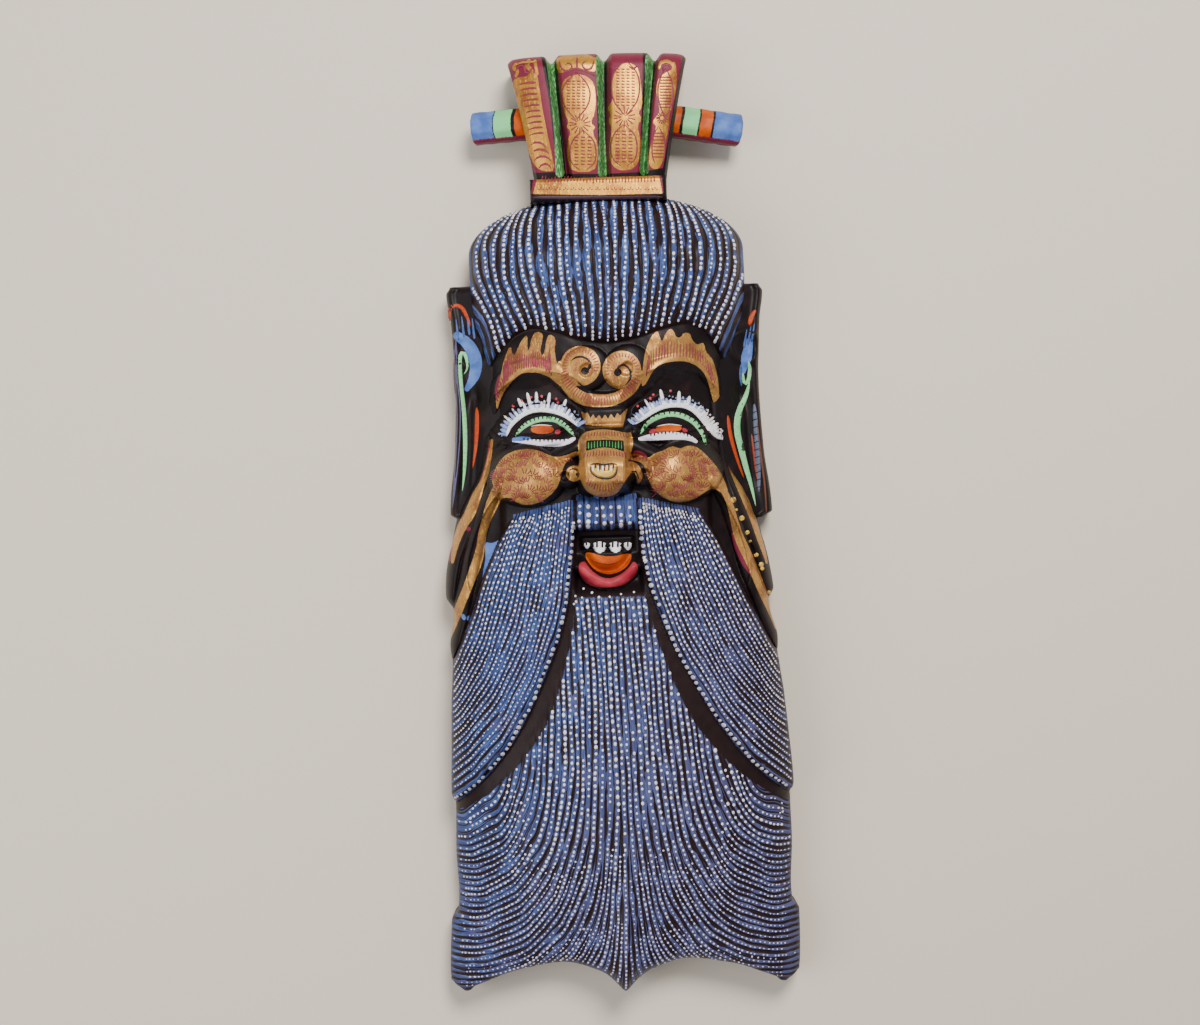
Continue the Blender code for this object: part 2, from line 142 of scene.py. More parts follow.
def gap_to(x, y, points):
    """Distance to a line of points, and how far along it the nearest place lies, from 0 to 1."""
    points = np.asarray(points, float)
    lengths = np.hypot(*np.diff(points, axis=0).T)
    start = np.concatenate([[0], np.cumsum(lengths)]) / lengths.sum()
    best, place = np.full(np.shape(x), 1e9), np.zeros(np.shape(x))
    for i, ((x0, y0), (x1, y1)) in enumerate(zip(points, points[1:])):
        t = np.clip(((x - x0) * (x1 - x0) + (y - y0) * (y1 - y0)) / lengths[i] ** 2, 0, 1)
        gap = np.hypot(x - x0 - t * (x1 - x0), y - y0 - t * (y1 - y0))
        place = np.where(gap < best, start[i] + t * (start[i + 1] - start[i]), place)
        best = np.minimum(best, gap)
    return best, place


def ridge(across, along, points, radius):
    """A rounded ridge of height 1 along a line of points, on both sides of the face."""
    return arch(gap_to(np.abs(across), along, points)[0] / radius)


# %% The outline and the heights down the middle
HALF_WIDTHS = [
    (-240, 88), (-236, 90.5), (-226, 91), (-204, 90.5), (-199, 87), (-190, 86.5), (-167, 87.5), (-143, 87),
    (-137, 88.5), (-115, 87.5), (-90, 86), (-72, 84.5), (-62, 85), (-46, 82), (-43, 82), (-36, 85), (-24, 84),
    (-8, 80.5), (8, 76.5), (30, 65), (62, 62), (80, 62), (95, 66.5), (108, 69.5), (125, 71), (150, 71), (175, 71),
]
FOOT_LINE = [
    (0, -240), (0.05, -236.5), (0.14, -231), (0.36, -226), (0.58, -228.5), (0.85, -236.5), (0.94, -240), (1, -235),
]
MIDDLE_LINE = [
    (-240, -0.6), (-226, -0.2), (-200, 0.7), (-140, 1.2), (-90, 0.2), (-50, -1.3), (-20, -2.8), (25, -2.8), (70, -0.8),
    (110, 1.7), (169, 1.2),
]
MIDDLE_HEIGHTS = [
    (-240, 34), (-225, 39), (-195, 43), (-150, 47), (-90, 51), (-45, 52), (-20, 52), (10, 56), (50, 56),
    (75, 57), (95, 57), (130, 59), (160, 50), (175, 46),
]
CAP_TOP, CAP_DROP, EDGE, WALL = 169.0, 30.0, 12.0, 14
FLAT_ARCH = 2.6  # how square the block is across: 2 would be a circle
HAIRLINE = [(0, 89.5), (12, 91), (25, 95), (38, 98), (46, 95.5), (54, 88), (60, 80), (66, 75), (80, 73)]
MOUSTACHE_INNER = [
    (-240, 260), (-147, 96), (-142, 86), (-125, 66), (-104, 50), (-82, 38), (-55, 26), (-30, 19), (-5, 16), (12, 15.5),
]
MOUSTACHE_OUTER = [
    (-150, 215), (-132, 175), (-110, 130), (-90, 101), (-72, 86), (-60, 79), (-45, 72), (-25, 63), (-10, 56), (8, 47),
]
BEARD_FAN = [
    (-240, 0.17), (-226, 0.27), (-205, 0.46), (-180, 0.70), (-155, 0.92), (-130, 1.06), (-100, 1.14), (-36, 1.22),
]
CREASE = [(-150, 5.0), (-120, 6.2), (-90, 6.8), (-65, 5.0), (-45, 3.0), (-36, 2.5)]


def half_width(along):
    return smooth_through(along, HALF_WIDTHS)


def moustache_edges(along):
    """Distance from the middle to the inner and to the outer edge of the moustache."""
    return smooth_through(along, MOUSTACHE_INNER), smooth_through(along, MOUSTACHE_OUTER)


def moustache_top(across):
    """Where the moustache ends upwards: level at the nose, then falling towards the cheeks."""
    return 11 - 0.22 * np.clip(np.abs(across) - 18, 0, 60)


def slant(inner):
    """How much longer a level line across the moustache's inner edge is than a square one."""
    return np.hypot(1, np.clip((inner - 16) / 30, 0, 1.1))


def middle(along):
    """Where the carving's own middle line runs: it was cut by eye and wanders by a few millimetres."""
    return smooth_through(along, MIDDLE_LINE)


def cap_line(share):
    """Height of the outline's top at a share of the half width: a flat arch."""
    return CAP_TOP - CAP_DROP * (1 - arch(share))


def foot_line(share):
    return smooth_through(np.abs(share), FOOT_LINE)


def hairline(across):
    return smooth_through(np.abs(across), HAIRLINE)


def block(across, along):
    """The rounded block before any feature is cut: an arch across, falling away at its two ends."""
    share = np.clip(np.abs(across) / half_width(along), 0, 1)
    sides = arch(share, FLAT_ARCH)
    top = 1 - np.clip((cap_line(share) - along) / 34, 0, 1)
    foot = 1 - np.clip((along - foot_line(share)) / 9, 0, 1)
    ends = arch(top, 2.4) * (0.62 + 0.38 * arch(foot))
    return EDGE + (smooth_through(along, MIDDLE_HEIGHTS) - EDGE) * sides * ends


# %% [markdown]
# ## Strands
# Hair, moustache and beard are rows of narrow strands with knife cuts between them, and the blue paint, the
# black cuts and the white dots all follow them. So each kind of hair gets one number that counts its strands
# at any place. The carving, the colour and the rows of dots read the same number and can't drift apart.
# %% Counting the strands
CAP_STRANDS, WING_STRANDS = 15, 20  # on one side
BEARD_PITCH, FRINGE_PITCH, FRINGE_SHIFT = 3.5, 4.1, 0.25
LEVEL_FROM, LEVEL_OVER, LEVELLING = 42, 47, 2.2  # from where, over what distance and how soon strands turn level
USUAL_PITCH = 3.6


def waver(across, along):
    """The knife's unsteadiness, in strands: three slow waves."""
    slow = np.sin(0.31 * across + 0.05 * along) + 0.9 * np.sin(0.07 * along - 0.23 * across + 1.3)
    return 0.10 * slow + 0.025 * np.sin(0.17 * along + 0.7 * across)


def steadied(place, strand, across, along, calm=1.0):
    """A place on a strand with its waver in it: looked up again at the number less the waver there."""
    return place(strand - waver(across, along) * calm, along)


def cap_fan(along):
    """How far a height lies up the round of the cap, and the half width of the hair there, pinched below."""
    drop = np.clip((along - (CAP_TOP - CAP_DROP)) / CAP_DROP, 0, 0.9)
    return drop, half_width(np.minimum(along, CAP_TOP - CAP_DROP)) * (1 - 0.15 * ramp(-along, -132, -92))


def cap_strand(across, along):
    """Strands of the hair: a family of flat arches, x = c W sqrt(1 - c^2 d^2), solved for c."""
    drop, width = cap_fan(along)
    u = np.clip(np.abs(across) / width, 0, 1.3)
    inside = np.sqrt(np.clip(1 - 4 * u**2 * drop**2, 0, 1))
    c = np.where(drop > 0.02, np.sqrt((1 - inside) / (2 * np.maximum(drop, 0.02) ** 2)), u)
    return np.sign(across) * c * CAP_STRANDS + waver(across, along)


def cap_place(strand, along):
    """The place across of one strand of the hair at some height: the same arches the other way round."""
    drop, width = cap_fan(along)
    return strand / CAP_STRANDS * width * arch(strand / CAP_STRANDS * drop)


def wing_strand(across, along):
    """Strands of the moustache: shares of the way from its inner to its outer edge."""
    inner, outer = moustache_edges(along)
    return (np.abs(across) - inner) / np.maximum(outer - inner, 1) * WING_STRANDS + waver(across, along)


def wing_place(strand, along):
    inner, outer = moustache_edges(along)
    return inner + strand / WING_STRANDS * (outer - inner)


def beard_calm(along):
    """How much of the waver is left where the beard spreads, so that it stays the same in millimetres."""
    return np.minimum(smooth_through(along, BEARD_FAN), 1)


def levelled(across):
    """Distance across that counts for less and less from some way out, and how fast it still grows."""
    t = np.clip((np.abs(across) - LEVEL_FROM) / LEVEL_OVER, 0, 1)
    level = np.minimum(np.abs(across), LEVEL_FROM) + LEVEL_OVER / LEVELLING * (1 - (1 - t) ** LEVELLING)
    return level, (1 - t) ** (LEVELLING - 1)


def beard_strand(across, along):
    """Strands of the beard: straight in the middle, fanned out below and turned level near the two sides."""
    number = np.sign(across) * levelled(across)[0] * smooth_through(along, BEARD_FAN) / BEARD_PITCH
    return number + waver(across, along) * beard_calm(along)


def beard_place(strand, along):
    """The place across of one strand of the beard: the levelling the other way round."""
    level, reach = np.abs(strand) * BEARD_PITCH / smooth_through(along, BEARD_FAN), LEVEL_OVER / LEVELLING
    t = 1 - np.clip(1 - (level - LEVEL_FROM) / reach, 0, 1) ** (1 / LEVELLING)
    beyond = np.maximum(level - LEVEL_FROM - reach, 0) * 50
    return np.sign(strand) * np.where(level < LEVEL_FROM, level, LEVEL_FROM + LEVEL_OVER * t + beyond)


def beard_finer(across, along):
    """How often the strands have split in two: 0 at their usual pitch, 1 at about twice that, and so on."""
    level, growth = levelled(across)
    fan = smooth_through(along, BEARD_FAN)
    steeper = smooth_through(np.minimum(along + 1, -36), BEARD_FAN) - fan
    apart = BEARD_PITCH / np.maximum(np.hypot(growth * fan, level * steeper), 0.05)
    wider = np.log2(apart / USUAL_PITCH)
    return np.clip(np.minimum(1.6 * wider, wider + 0.4), 0, 2.6)


def fringe_strand(across, along):
    """Strands of the short fringe over the mouth."""
    return across / FRINGE_PITCH + FRINGE_SHIFT + 0.5 * waver(across, along)


def fringe_place(strand, along):
    return (strand - FRINGE_SHIFT) * FRINGE_PITCH + 0 * along


def cut_strands(strand, depth, finer=0.0):
    """Round strands: crests at whole numbers, sharp valleys between, and new crests in them as finer rises."""
    strand, part = strand * 2.0 ** np.floor(finer), finer - np.floor(finer)
    crest, split = np.abs(np.cos(np.pi * strand)) ** 0.55, np.abs(np.cos(2 * np.pi * strand)) ** 0.55
    return depth * (crest + (split - crest) * part - 0.72)


# %% The features, each as a height over the block
def hair(across, along):
    """How far the hair stands above the forehead, with its strands."""
    above = along - hairline(across)
    return 8.5 * np.sqrt(ramp(above, 0, 8)) + ramp(above, 0.5, 4) * cut_strands(cap_strand(across, along), 1.15)


def brows(across, along):
    """Flame brows with a raised lower rim, and two curls that meet over the nose."""
    flame = mound(across, along, 38, 86, 25, 17, -8) ** 1.6 * 2.8
    rim = ridge(across, along, [(60, 60), (56, 70), (48, 78), (37, 81), (26, 77), (17, 68), (8, 61), (0, 60)], 5)
    curl = mound(across, along, 10.5, 77, 12, 11.5) ** 0.5
    eye_of_curl = mound(across, along, 10, 76, 3.4, 3.4) ** 0.5
    return np.maximum(np.maximum(flame, 3.6 * rim), 4.8 * curl) - 2.4 * eye_of_curl


def eyes(across, along):
    """A deep socket with a lidded eye in it."""
    socket = mound(across, along, 34, 58, 27, 18, -5) ** 1.2
    eyeball = mound(across, along, 34, 53, 20.5, 9, -6)
    lid = ridge(across, along, [(13, 46), (20, 54), (30, 60), (42, 59), (52, 51), (57, 44)], 4.5)
    under = ridge(across, along, [(15, 43.5), (24, 42.5), (34, 42), (44, 42.5), (51, 44)], 3.4)
    return 6.0 * eyeball + 2.2 * lid + 3.0 * under - 8.0 * socket


def nose(across, along):
    """A blunt block of a nose, with a step at its root and a curled wing on each side."""
    block_part = ramp(along, 12, 20) * ramp(-along, -50, -46) * ramp(-np.abs(across), -14.5, -9)
    lift = smooth_through(along, [(10, 22), (18, 28.8), (27, 28.8), (38, 21), (50, 12)])
    bulb = 30 * mound(across, along, 0, 25, 14.5, 13) ** 0.7
    root = 5 * ramp(-np.abs(across), -12, -8) * ramp(along, 44, 50) * ramp(-along, -62, -55)
    wing = 13 * mound(across, along, 18.5, 25, 7.5, 7.5) ** 0.7
    dimple = 4 * mound(across, along, 20, 23.5, 2.6, 2.6)
    return np.maximum(np.maximum(block_part * lift, bulb), np.maximum(root, wing - dimple))


def cheeks(across, along):
    """Ball cheeks, each drawn out in a tail towards the root of the nose."""
    ball = 15 * mound(across, along, 40, 24.8, 21, 15.8, 8) ** 0.8
    tail = 7 * ridge(across, along, [(14, 38), (20, 35), (27, 32)], 4.5)
    return np.maximum(ball, tail)


def jaw_ribbons(across, along):
    """Two flat ribbons that run from the cheek down to the edge, with a hollow inside them."""
    outer = ridge(across, along, [(62, 44), (65, 22), (71, 2), (79, -16), (84, -38)], 4)
    inner = ridge(across, along, [(56, 20), (62, 8), (67, -8), (72, -28), (79, -48), (85, -64)], 4.5)
    hollow = mound(across, along, 60, -9, 8, 27, 20)
    return 4 * np.maximum(outer, inner) - 5 * hollow


def moustache(across, along):
    """Two long wings of moustache that sweep out to the edges, over the beard."""
    x = np.abs(across)
    inner, outer = moustache_edges(along)
    body = ramp((x - inner) / slant(inner), -1, 4) * ramp(outer - x, -1, 4) * ramp(moustache_top(x) - along, 0, 6)
    return body * (8.0 + cut_strands(wing_strand(across, along), 0.95))


def mouth(across, along):
    """An open mouth under a short fringe of moustache: a tongue and a full lower lip in a recess."""
    x = np.abs(across)
    fringe = 7 * ramp(along, -4.5, -2) * ramp(-along, -15, -10) * ramp(-x, -18, -14)
    fringe = fringe + fringe / 7 * cut_strands(fringe_strand(across, along), 1.0)
    recess = 7.5 * ramp(along, -39, -28) * ramp(-along, 0, 4) * ramp(-x, -18, -15.5)
    teeth = 2.5 * ramp(along, -14, -12) * ramp(-along, 6.5, 8) * ramp(-x, -14, -12)
    bowl = 1 - np.sqrt((across / 13) ** 2 + ((along + 14) / 11) ** 2)
    tongue = 5.5 * ramp(bowl, 0, 0.45) * ramp(-along, 13.5, 15.5)
    ring = np.sqrt((across / 15) ** 2 + ((along + 15) / 14.5) ** 2)
    lip = 9 * arch((ring - 1) / 0.28) * ramp(-along, 15, 23)
    return fringe - recess + np.maximum(np.maximum(teeth, tongue), lip)


def past_crease(across, along):
    """How far a place lies inside the black crease between the beard and the moustache over it."""
    inner = smooth_through(along, MOUSTACHE_INNER)
    return (inner - np.abs(across)) / slant(inner) - smooth_through(along, CREASE)


def beard(across, along):
    """Strands that hang straight and then fan out to the corners, with a keel at the tip."""
    x = np.abs(across)
    clear = past_crease(across, along)
    strands = cut_strands(beard_strand(across, along), 1.2, beard_finer(across, along))
    spread = ramp(-along, 34, 41) * ramp(clear, -1, 1.5) * strands
    keel = 7 * np.exp(-((x / 6) ** 2)) * ramp(-along, 175, 236)
    flank = 6 * np.exp(-(((x - 30) / 20) ** 2)) * ramp(-along, 185, 232)
    corner = 4 * np.exp(-(((x - 78) / 14) ** 2)) * ramp(-along, 190, 226)
    return spread + keel - flank + corner


def knife_marks(across, along):
    """Shallow facets that the last strokes of the knife left: crossed waves of a tenth of a millimetre."""
    return 0.10 * np.sin(0.55 * across + 1.7 * np.sin(0.21 * along)) * np.sin(0.43 * along + np.sin(0.37 * across))


def front(across, along):
    """Height of the carved face above the rim plane."""
    x = np.abs(across)
    face = ramp(-along, -104, -92) * ramp(along, -2, 8)
    relief = brows(across, along) + eyes(across, along)
    relief = np.maximum(relief, 0) * (x < 61) + np.minimum(relief, 0)
    high = np.maximum(nose(across, along), cheeks(across, along))
    relief = relief + (np.maximum(relief, high) - relief) * ramp(high, 0, 3)
    wings = moustache(across, along)
    low = np.where(wings > 0.5, wings, beard(across, along))
    relief = relief * face + low * ramp(-along, -12, -4) * (high < 2.5) + mouth(across, along) * (high < 1)
    side = jaw_ribbons(across, along) * ramp(x, 50, 54) * (wings < 0.5)
    return block(across, along) + relief + side + hair(across, along) + knife_marks(across, along)


def face_height(x, y):
    """The front at a place in the frame, with the wander of the middle line taken off."""
    y = np.clip(y, -240, CAP_TOP)
    return front(np.clip(x - middle(y), -half_width(y), half_width(y)), y)


print("nose", round(float(face_height(np.array([-2.8]), np.array([24.0]))[0]), 1), "mm above the rim")

# %% [markdown]
# ## One dense sheet, cut into pieces
# The face could be one mesh, but a mesh of half a million faces is clumsy. So one dense grid is laid over the
# whole front and down its sides to the rim, and is then cut along the creases where black paint lies: hair, face,
# two wings of moustache, and beard.
# %% Grids with sides, and meshes made from them
def crowded_to_ends(count):
    """Shares from -1 to 1 that lie closer together near both ends: a stretched sine."""
    return np.sin(np.pi / 2 * np.linspace(-1, 1, count) * 0.93) / math.sin(np.pi / 2 * 0.93)


def grid_quads(rows, columns):
    """Corner numbers of every quad of a grid, so that its top faces up when x and y grow with the numbers."""
    corner = np.arange(rows * columns).reshape(rows, columns)
    return np.stack([corner[:-1, :-1], corner[:-1, 1:], corner[1:, 1:], corner[1:, :-1]], axis=-1)


def outside_by(rows, columns, rings):
    """How many rings each point of a padded grid lies outside the grid, as a share of all the rings."""
    row = np.maximum(rings - np.arange(rows), np.arange(rows) - (rows - 1 - rings)).clip(0)
    column = np.maximum(rings - np.arange(columns), np.arange(columns) - (columns - 1 - rings)).clip(0)
    return np.maximum(row[:, None], column[None, :]) / rings


def border_of(rows, columns):
    """Corner numbers round the border of a grid, turning left."""
    corner = np.arange(rows * columns).reshape(rows, columns)
    return np.concatenate([corner[0, :-1], corner[:-1, -1], corner[-1, :0:-1], corner[:0:-1, 0]]).tolist()


def with_sides(face, rings, lean, floor=0.0):
    """A grid of points with rings added round it that go down to the floor height and lean inwards."""
    padded = np.pad(face, ((rings, rings), (rings, rings), (0, 0)), mode="edge")
    if np.ndim(floor):
        floor = np.pad(floor, rings, mode="edge")
    down = outside_by(*padded.shape[:2], rings)
    centre = padded[..., :2].reshape(-1, 2).mean(axis=0)
    outward = padded[..., :2] - centre
    outward /= np.maximum(np.hypot(outward[..., 0], outward[..., 1]), 1e-6)[..., None]
    padded[..., :2] += outward * (0.35 * np.sin(np.pi * down) - lean * down**2)[..., None]
    padded[..., 2] += (floor - padded[..., 2]) * down
    return padded, down


def put_mesh(name, points, quads, values=None, plates=()):
    """A mesh object from points in millimetres, quads and larger plates, with doubled points joined."""
    across_a, across_b = points[quads[:, 2]] - points[quads[:, 0]], points[quads[:, 3]] - points[quads[:, 1]]
    quads = quads[np.linalg.norm(np.cross(across_a, across_b), axis=1) > 1e-7]
    used, numbers = np.unique(quads, return_inverse=True)
    renumber = np.zeros(len(points), int)
    renumber[used] = np.arange(len(used))
    faces = numbers.reshape(-1, 4).tolist() + [renumber[plate].tolist() for plate in plates]
    mesh = bpy.data.meshes.new(name)
    mesh.from_pydata(points[used] * MM, [], faces)
    for label, value in (values or {}).items():
        value = np.ascontiguousarray(np.ravel(value)[used], np.float32)
        mesh.attributes.new(label, "FLOAT", "POINT").data.foreach_set("value", value)
    build = bmesh.new()
    build.from_mesh(mesh)
    bmesh.ops.remove_doubles(build, verts=build.verts, dist=2e-6)
    bmesh.ops.dissolve_degenerate(build, edges=build.edges, dist=1e-7)
    build.to_mesh(mesh)
    build.free()
    mesh.shade_smooth()
    return stand(name, mesh)


def dress(piece, finish):
    """Gives a piece its finish and lets it stand for the solid."""
    piece.data.materials.append(finish)
    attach(piece, "root")
    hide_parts("nuo_mask")
    print(f"{piece.name}: {sum(len(p.vertices) - 2 for p in piece.data.polygons)} triangles")
    return piece


# %% The dense sheet itself
COLUMNS, ROWS, SIDE_RINGS = 318, 720, 9
share, up = np.meshgrid(crowded_to_ends(COLUMNS), np.linspace(0, 1, ROWS))
along = foot_line(share) + up * (cap_line(share) - foot_line(share))
across = share * half_width(along)
sheet, down = with_sides(np.dstack([across + middle(along), along, front(across, along)]), SIDE_RINGS, 2.0)
pad = ((SIDE_RINGS, SIDE_RINGS), (SIDE_RINGS, SIDE_RINGS))
across, along = np.pad(across, pad, mode="edge"), np.pad(along, pad, mode="edge")
quads = grid_quads(*along.shape)
print("sheet of", quads.shape[0] * quads.shape[1], "quads")

# %% [markdown]
# ## Paint laid out as it is seen
# Flat areas of paint are shapes with a crisp but hand-drawn edge. An image would need unwrapping and pixels.
# Instead each point of the mesh is told how far inside a shape it lies, as seen from the eye, and the shader
# draws the edge where that distance passes zero. That gives sharp edges between the points of the mesh.
# %% Distance into a painted shape
def rounded(points, times=2, closed=True):
    """Cuts the corners of a line or outline, a quarter off each side, as a loaded brush rounds them."""
    points = np.asarray(points, float)
    for _ in range(times):
        after = np.roll(points, -1, axis=0) if closed else points[1:]
        before = points if closed else points[:-1]
        cut = np.stack([0.75 * before + 0.25 * after, 0.25 * before + 0.75 * after], axis=1).reshape(-1, 2)
        points = cut if closed else np.vstack([points[:1], cut, points[-1:]])
    return points


FAR = 3.0  # no shape needs to know more than this many pixels


def limited(depth):
    return np.clip(depth, -FAR, FAR)


def beside(u, v, points, margin):
    """Which places lie in the box round some points, and distances for all places, far outside to begin with."""
    low, high = points.min(axis=0) - margin, points.max(axis=0) + margin
    return (u > low[0]) & (u < high[0]) & (v > low[1]) & (v < high[1]), np.full(np.shape(u), -FAR)


def into_shape(u, v, outline):
    """Distance into an outline, in pixels, negative outside it: nearest edge, with the sign by crossings."""
    outline = np.asarray(outline, float)
    near, result = beside(u, v, outline, 4)
    x, y = u[near], v[near]
    inside = np.zeros(x.shape, bool)
    for (x0, y0), (x1, y1) in zip(outline, np.roll(outline, -1, axis=0)):
        crosses = (y0 > y) != (y1 > y)
        inside ^= crosses & (x < (x1 - x0) * (y - y0) / (y1 - y0 if y1 != y0 else 1) + x0)
    gap = gap_to(x, y, np.vstack([outline, outline[:1]]))[0]
    result[near] = np.where(inside, gap, -gap)
    return limited(result)


def into_band(u, v, path, widths):
    """Distance into a brushed band whose full width changes along its path."""
    path = rounded(path, 2, closed=False)
    near, result = beside(u, v, path, 14)
    gap, place = gap_to(u[near], v[near], path)
    result[near] = np.interp(place, np.linspace(0, 1, len(widths)), widths) / 2 - gap
    return limited(result)


def into_disc(u, v, place, radius):
    """Distance into a round spot."""
    return limited(radius - np.hypot(u - place[0], v - place[1]))


def shape(points, times=2):
    """An area of paint inside an outline whose corners are cut so many times."""
    return into_shape, rounded(points, times)


def band(path, widths):
    """A stroke of a broad brush."""
    return into_band, path, widths


def disc(place, radius):
    """A round spot of paint."""
    return into_disc, place, radius


PAINTS = ("maroon", "gold", "green", "orange", "pink", "white", "blue", "mint", "black")


def painted(points, shapes):
    """For each paint, the greatest distance into any of its shapes, as seen from the eye."""
    u, v = seen_at(points[..., 0], points[..., 1], points[..., 2])
    values = {}
    for paint in PAINTS:
        depth = np.full(u.shape, -FAR)
        for into, *form in shapes.get(paint, ()):
            depth = np.maximum(depth, into(u, v, *form))
        values[paint] = depth
    return values


# %% [markdown]
# ## Materials
# Every finish is built by one small writer of node trees. Its wires can be added and multiplied like numbers,
# so a recipe reads as a formula, and colours go through Mix nodes so that they keep their hue.
# %% A writer for finishes
class Wire:
    """One output of a node, with arithmetic: each operator adds a Math node."""

    def __init__(self, finish, socket):
        self.finish, self.socket = finish, socket

    def __add__(self, other):
        return self.finish.maths("ADD", self, other)

    def __mul__(self, other):
        return self.finish.maths("MULTIPLY", self, other)

    def __sub__(self, other):
        return self.finish.maths("SUBTRACT", self, other)

    def __rsub__(self, other):
        return self.finish.maths("SUBTRACT", other, self)

    __radd__, __rmul__ = __add__, __mul__


class Finish:
    """A material and the ways to add to its tree."""

    def __init__(self, name, **constants):
        self.material = bpy.data.materials.new(name)
        self.material.use_nodes = True
        self.tree = self.material.node_tree
        self.shader = self.tree.nodes["Principled BSDF"]
        for label, value in constants.items():
            self.shader.inputs[label.replace("_", " ")].default_value = value

    def node(self, kind, settings=None, values=None, out=0):
        made = self.tree.nodes.new("ShaderNode" + kind)
        for label, value in (settings or {}).items():
            setattr(made, label, value)
        for label, value in (values or {}).items():
            if isinstance(value, Wire):
                self.tree.links.new(value.socket, made.inputs[label])
            else:
                made.inputs[label].default_value = value
        return Wire(self, made.outputs[out])

    def maths(self, operation, *terms):
        return self.node("Math", {"operation": operation}, dict(enumerate(terms)))

    def attribute(self, name, out="Fac"):
        return self.node("Attribute", {"attribute_name": name}, out=out)

    def place(self):
        return self.node("TexCoord", out="Object")

    def stretched(self, vector, x, y, z):
        return self.node("Mapping", {}, {"Vector": vector, "Scale": (x, y, z)})

    def noise(self, vector, scale, detail=3.0, rough=0.55):
        return self.node("TexNoise", {}, {"Vector": vector, "Scale": scale, "Detail": detail, "Roughness": rough})

    def step(self, value, low, high):
        """0 below low and 1 above high, smoothly between."""
        limits = {"Value": value, "From Min": low, "From Max": high}
        return self.node("MapRange", {"interpolation_type": "SMOOTHSTEP"}, limits)

    def mix(self, factor, first, second, blend="MIX"):
        """From the first colour to the second as the factor goes from 0 to 1."""
        settings = {"data_type": "RGBA", "blend_type": blend}
        return self.node("Mix", settings, {0: factor, 6: first, 7: second}, out=2)

    def join(self, x, y, z=0.0):
        return self.node("CombineXYZ", {}, {0: x, 1: y, 2: z})

    def to(self, label, wire):
        self.tree.links.new(wire.socket, self.shader.inputs[label])

    def bump(self, height, strength, distance):
        values = {"Height": height, "Strength": strength, "Distance": distance}
        self.to("Normal", self.node("Bump", {}, values))


def rgb(red, green, blue):
    """A colour as on a paint chart, 0 to 255, in the linear numbers that shaders use."""
    parts = (c / 255 / 12.92 if c < 10 else ((c / 255 + 0.055) / 1.055) ** 2.4 for c in (red, green, blue))
    return (*parts, 1.0)


BLACK, BLACK_WARM, RED_BROWN = rgb(22, 14, 16), rgb(42, 25, 24), rgb(158, 66, 66)
BLUE, BLUE_DEEP, BLUE_PALE = rgb(72, 96, 154), rgb(46, 58, 104), rgb(110, 144, 204)
GOLD, GOLD_DARK, GOLD_LIGHT = rgb(196, 138, 54), rgb(142, 86, 40), rgb(236, 194, 88)
MAROON, MINT, ORANGE = rgb(130, 40, 60), rgb(140, 220, 150), rgb(186, 60, 0)
PINK, WHITE, LILAC, IVORY = rgb(206, 72, 88), rgb(254, 252, 254), rgb(222, 212, 236), rgb(246, 238, 230)


# %% [markdown]
# The painted wood is black gloss lacquer first, then gold with a metal pigment, then the flat colours. Edges
# waver by a fraction of a stroke, gold lies in thin and thick patches, and lacquer shines more than paint.
# %% Painted wood
def painted_wood(name, shine=0.40, gold=GOLD, dark_gold=GOLD_DARK):
    finish = Finish(name, Specular_IOR_Level=0.18)
    place = finish.place()
    edge = (finish.noise(place, 900, 2.0) - 0.5) * 0.9
    patch = finish.noise(place, 95, 4.0)
    fine = finish.noise(finish.stretched(place, 1.0, 0.35, 1.0), 1300, 2.0)
    colour = finish.mix(finish.step(patch, 0.50, 0.78), BLACK, BLACK_WARM)
    gold_tone = finish.mix(finish.step(patch, 0.40, 0.70), gold, dark_gold)
    gold_tone = finish.mix(finish.step(fine, 0.52, 0.80), gold_tone, GOLD_LIGHT)
    tones = {
        "maroon": finish.mix(patch, MAROON, rgb(96, 24, 50)),
        "gold": gold_tone,
        "green": finish.mix(finish.step(fine, 0.4, 0.7), rgb(48, 106, 52), rgb(128, 196, 118)),
        "orange": finish.mix(finish.step(patch, 0.3, 0.7), rgb(210, 92, 4), rgb(164, 60, 8)),
        "pink": finish.mix(finish.step(patch, 0.3, 0.7), rgb(150, 34, 50), rgb(180, 58, 70)),
        "white": finish.mix(patch, WHITE, LILAC),
        "blue": finish.mix(finish.step(patch, 0.35, 0.7), rgb(66, 98, 170), rgb(98, 132, 198)),
        "mint": finish.mix(patch, MINT, rgb(110, 196, 130)),
        "black": BLACK,
    }
    metal = 0.0
    for paint in PAINTS:
        cover = finish.step(finish.attribute(paint) + edge, -0.15, 0.25)
        colour = finish.mix(cover, colour, tones[paint])
        if paint == "gold":
            metal = cover * 0.55
        elif paint != "maroon":
            metal = metal * (1.0 - cover)
    finish.to("Base Color", colour)
    finish.to("Metallic", metal)
    finish.to("Roughness", metal * -0.08 + shine + patch * 0.10)
    finish.bump(fine * 0.6 + patch, 0.25, 0.0004)
    return finish.material


